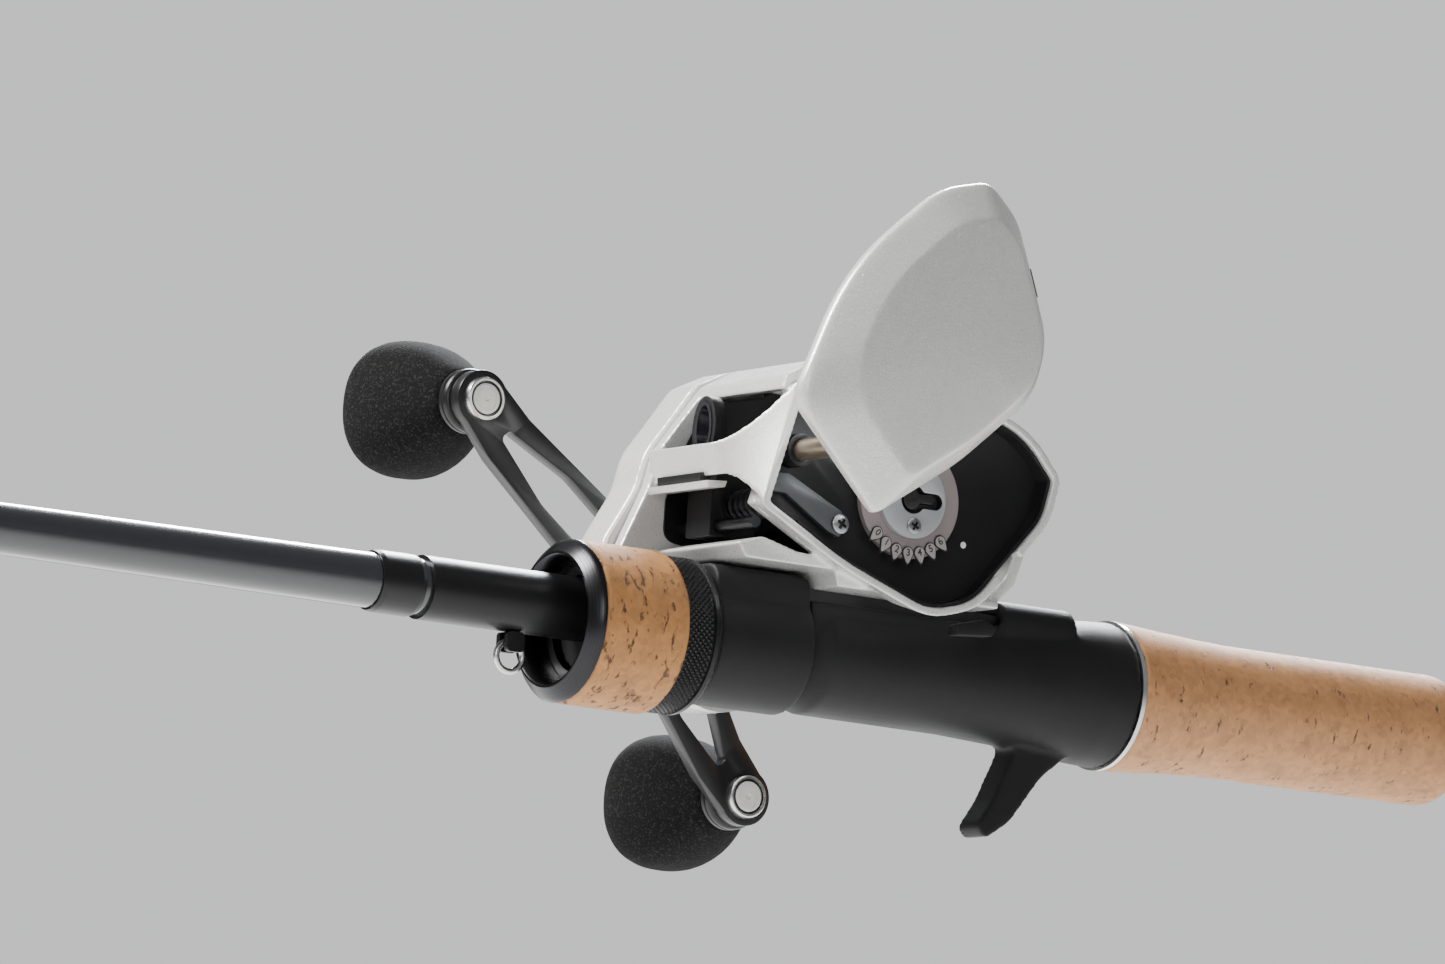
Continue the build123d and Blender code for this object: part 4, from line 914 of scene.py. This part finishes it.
@dataclass
class BrakeDial:
    """The numbered brake dial and its fixed centre."""

    tabs: int = 7
    step: float = 15.0
    first: float = -135.0
    inner: float = 7.36
    outer: float = 11.0
    tab_radius: float = 10.3
    tab_size: float = 1.3
    tab_point: float = 1.75
    tab_taper: float = 0.55
    numeral: float = 1.9
    keyhole_reach: float = 6.9
    dot_radius: float = 12.9
    dot_turn: float = -35.0

    def build(self) -> None:
        """Turns the dial's band, sets its tabs and numbers, and finishes the centre."""
        centre = joint_point("brake_dial_turn")
        low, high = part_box("brake_dial")
        face = low.y / MM
        back = high.y / MM
        profile = [
            (back, self.inner), (face + 0.25, self.inner), (face + 0.25, self.outer - 0.2),
            (face + 0.5, self.outer), (back, self.outer), (back, self.inner),
        ]
        band = lathe(profile, centre, AXIS_Y, 120)
        finished("brake_dial_band", band, DIAL_PINK, "brake_dial", ("brake_dial",), crisp=30)
        for i in range(self.tabs):
            self.tab(i, centre, face)
        self.centre_disc()
        self.index_dot(centre)

    def centre_disc(self) -> None:
        """The fixed disc; within the keyhole's reach, every face behind the front face gets black painted
        shade.
        """
        disc = softened("brake_disc", DIAL_GREY, "rod", 0.15)
        disc.data.materials.append(PAINTED_SHADE.material())
        low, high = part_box("brake_disc")
        middle = (low + high) / 2
        # painted shade: faces of the keyhole recess, behind the disc's front face, are set black
        for face in disc.data.polygons:
            off = face.center - middle
            in_keyhole_shade = math.hypot(off.x, off.z) < self.keyhole_reach * MM
            if in_keyhole_shade and face.center.y > low.y + 0.1 * MM:
                face.material_index = 1

    def spot(self, centre: Vector, angle: float, radius: float, y: float) -> Matrix:
        """A place on the dial, its local y pointing outwards and its z toward the palm side."""
        a = math.radians(angle)
        out = Vector((math.cos(a), 0, math.sin(a)))
        place = Vector((centre.x, 0, centre.z)) + out * (radius * MM) + Vector((0, y * MM, 0))
        towards = Vector((0, -1, 0))
        return Matrix.Translation(place) @ Matrix((out.cross(towards), out, towards)).transposed().to_4x4()

    def tab(self, i: int, centre: Vector, face: float) -> None:
        """One teardrop tab with its number.

        Args:
            i: the tab's number.
            centre: the dial's axis.
            face: place of the dial's face along Y, in millimetres.
        """
        angle = self.first + self.step * i
        place = self.spot(centre, angle, self.tab_radius, face)
        for name, finish, grow, depth, sunk in (
            ("edge", INK, 1.0, 0.24, 0.24), ("face", TAB_GREY, 0.84, 0.12, 0.02),
        ):
            bm = bmesh.new()
            radius = self.tab_size * grow * MM
            bmesh.ops.create_circle(bm, cap_ends=True, segments=28, radius=radius)
            for vert in bm.verts:
                if vert.co.y > 0:
                    vert.co.x *= 1 - self.tab_taper * vert.co.y / radius
                    vert.co.y *= self.tab_point
            made = bmesh.ops.extrude_face_region(bm, geom=list(bm.faces))["geom"]
            top = [v for v in made if isinstance(v, bmesh.types.BMVert)]
            bmesh.ops.translate(bm, vec=(0, 0, depth * MM), verts=top)
            seat = place @ Matrix.Translation((0, -0.25 * MM, -sunk * MM))
            bmesh.ops.transform(bm, matrix=seat, verts=bm.verts)
            bmesh.ops.recalc_face_normals(bm, faces=bm.faces)
            finished(f"dial_tab_{name}_{i}", bm, finish, "brake_dial")
        self.number(str(i), place @ Matrix.Translation((0, -0.35 * MM, 0.105 * MM)), f"dial_number_{i}")

    def number(self, text: str, place: Matrix, name: str) -> None:
        """A printed numeral.

        Args:
            text: the numeral.
            place: where its middle stands.
            name: the piece's name.
        """
        curve = bpy.data.curves.new(name, "FONT")
        curve.body = text
        curve.size = self.numeral * MM
        curve.offset = 0.03 * MM
        curve.extrude = 0.008 * MM
        curve.align_x = "CENTER"
        curve.align_y = "CENTER"
        holder = bpy.data.objects.new(name, curve)
        mesh = bpy.data.meshes.new_from_object(holder)
        bpy.data.objects.remove(holder)
        bpy.data.curves.remove(curve)
        bm = bmesh.new()
        bm.from_mesh(mesh)
        bpy.data.meshes.remove(mesh)
        bmesh.ops.transform(bm, matrix=place @ Matrix.Rotation(math.pi, 4, "Z"), verts=bm.verts)
        finished(name, bm, INK, "brake_dial")

    def index_dot(self, centre: Vector) -> None:
        """The white dot on the plate that the numbers are read against."""
        plate_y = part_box("palm_plate")[0].y / MM
        place = self.spot(centre, self.dot_turn, self.dot_radius, plate_y)
        bm = bmesh.new()
        bmesh.ops.create_cone(
            bm, cap_ends=True, segments=24, radius1=0.62 * MM, radius2=0.55 * MM, depth=0.12 * MM,
            matrix=place @ Matrix.Translation((0, 0, 0.05 * MM)),
        )
        finished("dial_index_dot", bm, PALE_DISC, "rod")


@dataclass
class Screws:
    """Every screw head, with its cross recess; the recess is in shares of the head's radius."""

    recess_depth: float = 0.45
    recess_long: float = 1.15
    recess_wide: float = 0.3
    recess_turn: float = 0.5

    def head(self, name: str, centre: Vector, out: float, radius: float, height: float) -> None:
        """A domed head with a cross cut in it; the cut's faces are painted black as shade.

        Args:
            name: the piece's name.
            centre: middle of the head's seat, in metres.
            out: -1 on the palm side, 1 on the handle side.
            radius: the head's radius in millimetres.
            height: its height in millimetres.
        """
        y = centre.y / MM
        profile = [
            (y, 0), (y, radius), (y + out * height * 0.55, radius), (y + out * height * 0.9, radius * 0.78),
            (y + out * height, radius * 0.4), (y + out * height, 0),
        ]
        piece = finished(name, lathe(profile, centre, AXIS_Y, 32), SCREW_METAL, "rod", crisp=35)
        # painted shade: the faces that the cross recess cuts take this black finish from the cutter
        piece.data.materials.append(PAINTED_SHADE.material())
        place = Matrix.Translation((centre.x, (y + out * height) * MM, centre.z))
        long, wide = radius * self.recess_long * MM, radius * self.recess_wide * MM
        size = Matrix.Diagonal((long, self.recess_depth * 2 * MM, wide, 1))
        bm = bmesh.new()
        for turn in (self.recess_turn, self.recess_turn + math.pi / 2):
            bmesh.ops.create_cube(bm, size=1.0, matrix=place @ Matrix.Rotation(turn, 4, "Y") @ size)
        mesh = mesh_of(bm, "recess")
        mesh.materials.append(PAINTED_SHADE.material())
        cutter = placed("recess", mesh)
        cut = piece.modifiers.new("recess", "BOOLEAN")
        cut.object = cutter
        cut.operation = "DIFFERENCE"
        cut.solver = "EXACT"
        cut.use_self = True
        apply_modifiers(piece)
        bpy.data.objects.remove(cutter)
        bpy.data.meshes.remove(mesh)

    def build(self) -> None:
        """Places a head wherever the frame has one."""
        bm = merged_copy("screws")
        left = set(bm.verts)
        count = 0
        while left:
            stack = [left.pop()]
            island = set(stack)
            while stack:
                near = {edge.other_vert(vert) for vert in [stack.pop()] for edge in vert.link_edges} - island
                island |= near
                stack += near
            left -= island
            low, high = (Vector([pick(v.co[k] for v in island) for k in range(3)]) for pick in (min, max))
            out = -1.0 if low.y < 0 else 1.0
            seat = (low + high) / 2
            seat.y = high.y if out < 0 else low.y
            count += 1
            size = (high - low) / MM
            self.head(f"screw_head_{count}", seat, out, size.x / 2, size.y)
        bm.free()
        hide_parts("screws")


@dataclass
class Handle:
    """The double handle: arm, discs, collars, foam knobs, nut and star drag."""

    # each section of a knob: its place from the collar, half its width and half its height
    sections: tuple[tuple[float, float, float], ...] = (
        (0.0, 5.4, 5.4), (0.8, 6.2, 6.3), (4.5, 8.1, 8.4), (9.0, 10.2, 10.8), (14.0, 11.9, 12.5),
        (19.0, 12.9, 13.4), (23.0, 12.8, 13.2), (26.2, 11.4, 11.8), (28.4, 9.0, 9.3), (29.7, 5.6, 5.8),
    )
    fullness: float = 0.86
    knob_steps: int = 40
    # each turned piece of a spindle: its name, finish, steps of a turn and outline
    spindle: tuple[tuple[str, Finish, int, list[Point]], ...] = (
        ("disc", BRIGHT, 64, [
            (55.0, 0), (55.0, 4.3), (52.9, 4.3), (52.1, 4.05), (51.95, 3.8), (51.95, 3.45), (52.35, 3.3),
            (52.35, 0),
        ]),
        ("ring", ANODISED, 64, [
            (52.36, 0), (52.36, 3.28), (52.2, 3.25), (52.2, 3.0), (52.36, 2.95), (52.36, 0),
        ]),
        ("face", PALE_DISC, 64, [
            (52.36, 0), (52.36, 2.95), (52.10, 2.9), (52.03, 2.75), (52.03, 2.25), (52.12, 2.2), (52.12, 2.1),
            (52.03, 2.05), (52.03, 0.55), (52.25, 0.35), (52.25, 0),
        ]),
        ("stem", BRIGHT, 32, [(55.0, 0), (55.0, 2.3), (80.0, 2.3), (80.0, 0)]),
    )
    collar: tuple[Point, ...] = (
        (56.6, 2.4), (56.6, 5.4), (56.9, 5.9), (57.3, 6.15), (58.0, 6.2), (58.15, 5.95), (58.4, 5.95),
        (58.55, 6.2), (59.4, 6.2), (59.95, 5.7), (59.95, 2.4), (56.6, 2.4),
    )

    def build(self) -> None:
        """Breaks the arm's edges, and turns and shapes the rest."""
        softened("handle_arm", GLOSS_BLACK, "crank", 0.35)
        softened("handle_nut", ANODISED, "crank", 0.2)
        softened("star_drag", GLOSS_BLACK, "star", 0.4)
        dress("drive_shaft", BRIGHT)
        softened("cast_cap", GLOSS_BLACK, "cast_control", 0.2)
        for end in ("upper", "lower"):
            centre = joint_point(f"{end}_knob_spin")
            for name, finish, steps, outline in self.spindle:
                turned = lathe(outline, centre, AXIS_Y, steps)
                finished(f"spindle_{name}_{end}", turned, finish, "crank", crisp=30)
            body, collar, knob = f"{end}_knob", f"knob_collar_{end}", f"knob_{end}"
            turned = lathe(self.collar, centre, AXIS_Y, 72)
            finished(f"{collar}_turned", turned, GLOSS_BLACK, body, (collar,), crisp=35)
            finished(f"{knob}_foam", self.knob(knob, centre), EVA, body, (knob,), crisp=60, levels=1)
        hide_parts("knob_spindles")

    def knob(self, node: str, centre: Vector) -> BMesh:
        """An egg-shaped foam paddle, narrow at the collar.

        Args:
            node: the CAD knob that it stands for.
            centre: the knob's axis.

        Returns:
            Its mesh.
        """
        start = Vector((centre.x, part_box(node)[0].y, centre.z))
        ring = []
        for k in range(self.knob_steps):
            a = math.tau * k / self.knob_steps
            ring.append([math.copysign(abs(c) ** self.fullness, c) for c in (math.cos(a), math.sin(a))])
        return skin([
            [start + Vector((half_x * x, depth, half_z * z)) * MM for x, z in ring]
            for depth, half_x, half_z in self.sections
        ])


@dataclass
class Works:
    """What the housing holds: spool, gears, bearings and level wind."""

    finishes: dict[str, Finish] = field(default_factory=lambda: {
        "spool": GLOSS_BLACK, "spool_shaft": BRIGHT, "pinion": BRASS, "brake_blocks": NYLON,
        "main_gear": BRASS, "shaft_gear": NYLON, "worm_gear": NYLON, "drag_washers": FIBRE,
        "one_way_clutch": BRIGHT, "ball_bearings": BRIGHT, "guide_rod": ANODISED, "worm_shaft": ANODISED,
        "line_eye": CERAMIC,
    })

    def build(self) -> None:
        """Dresses the works, and breaks the edges of those that show."""
        for node, finish in self.finishes.items():
            dress(node, finish)
        softened("line_guide", MATTE_BLACK, "line_guide", 0.3)
        softened("thumb_bar", MATTE_BLACK, "thumb_bar", 0.5)


# ------ stage
@dataclass
class Stage:
    """Plain pale floor, soft studio light and the camera."""

    floor_z: float = -0.30
    floor_reach: float = 60.0
    floor_colour: tuple[float, float, float, float] = (0.62, 0.62, 0.61, 1)
    floor_glow: float = 0.22
    camera_place: tuple[float, float, float] = (-1.10807, -1.48133, -0.20151)
    right: tuple[float, float, float] = (0.83129, -0.55210, 0.06444)
    up: tuple[float, float, float] = (-0.12513, -0.07293, 0.98946)
    back: tuple[float, float, float] = (-0.54158, -0.83058, -0.12971)
    lens: float = 239.9
    backdrop: Colour = (0.80, 0.805, 0.81)
    ambient: float = 0.30

    def build(self) -> None:
        """Sets the floor, world, lights and camera."""
        self.floor()
        self.world()
        for name, place, size, power, colour in (
            ("key", (-1.1, 0.45, 1.15), 0.6, 70.0, (1.0, 0.985, 0.96)),
            ("rim", (0.6, 0.9, 1.0), 0.5, 62.0, (0.95, 0.97, 1.0)),
            ("fill", (-1.7, -1.6, 0.55), 0.9, 9.0, (1.0, 1.0, 1.0)),
        ):
            self.lamp(name, Vector(place), size, power, colour)
        self.camera()

    def floor(self) -> None:
        """A wide pale floor."""
        bm = bmesh.new()
        bmesh.ops.create_grid(bm, x_segments=1, y_segments=1, size=self.floor_reach)
        bmesh.ops.translate(bm, vec=(0, 0, self.floor_z), verts=bm.verts)
        mesh = mesh_of(bm, "floor")
        paint = bpy.data.materials.new("floor_paint")
        paint.use_nodes = True
        shader = paint.node_tree.nodes["Principled BSDF"]
        for socket, value in (
            ("Base Color", self.floor_colour), ("Roughness", 0.85), ("Specular IOR Level", 0.0),
            ("Emission Color", (1, 1, 1, 1)), ("Emission Strength", self.floor_glow),
        ):
            shader.inputs[socket].default_value = value
        mesh.materials.append(paint)
        placed("floor", mesh)

    def world(self) -> None:
        """An even pale backdrop, which gives a weaker light than it shows."""
        world = bpy.data.worlds.new("studio")
        bpy.context.scene.world = world
        world.use_nodes = True
        tree = NodeTree(world.node_tree)
        seen = world.node_tree.nodes["Background"]
        seen.inputs["Color"].default_value = (*self.backdrop, 1)
        light = tree.add("ShaderNodeBackground", {"Color": (*self.backdrop, 1), "Strength": self.ambient})
        ray = tree.add("ShaderNodeLightPath").outputs["Is Camera Ray"]
        mix = tree.add("ShaderNodeMixShader", {0: ray, 1: light.outputs[0], 2: seen.outputs[0]})
        tree.join(world.node_tree.nodes["World Output"], {"Surface": mix.outputs[0]})

    def lamp(self, name: str, place: Vector, size: float, power: float, colour: Colour) -> None:
        """A square soft box that faces the reel.

        Args:
            name: the lamp's name.
            place: where it stands.
            size: its side.
            power: its power in watts.
            colour: its colour.
        """
        data = bpy.data.lights.new(name, "AREA")
        data.size = size
        data.energy = power
        data.color = colour
        lamp = placed(name, data)
        lamp.location = place
        lamp.rotation_mode = "QUATERNION"
        lamp.rotation_quaternion = (joint_point("spool_spin") - place).to_track_quat("-Z", "Y")

    def camera(self) -> None:
        """The long-lens camera, a little below the reel."""
        data = bpy.data.cameras.new("camera")
        data.lens = self.lens
        data.sensor_width = 36.0
        data.clip_start = 0.05
        data.clip_end = 100.0
        camera = placed("camera", data)
        turn = Matrix((self.right, self.up, self.back)).transposed()
        camera.matrix_world = Matrix.Translation(Vector(self.camera_place)) @ turn.to_4x4()
        bpy.context.scene.camera = camera


def main() -> None:
    """Builds the object sub-assembly by sub-assembly, then the stage."""
    make_flake_group()
    make_grain_group()
    make_cork_group()
    for part in (Blank, Guides, Grips, Seat, Housing, Cover, BrakeDial, Screws, Handle, Works):
        log.info("building %s", part.__name__)
        part().build()
    Stage().build()


if __name__ == "__main__":
    main()
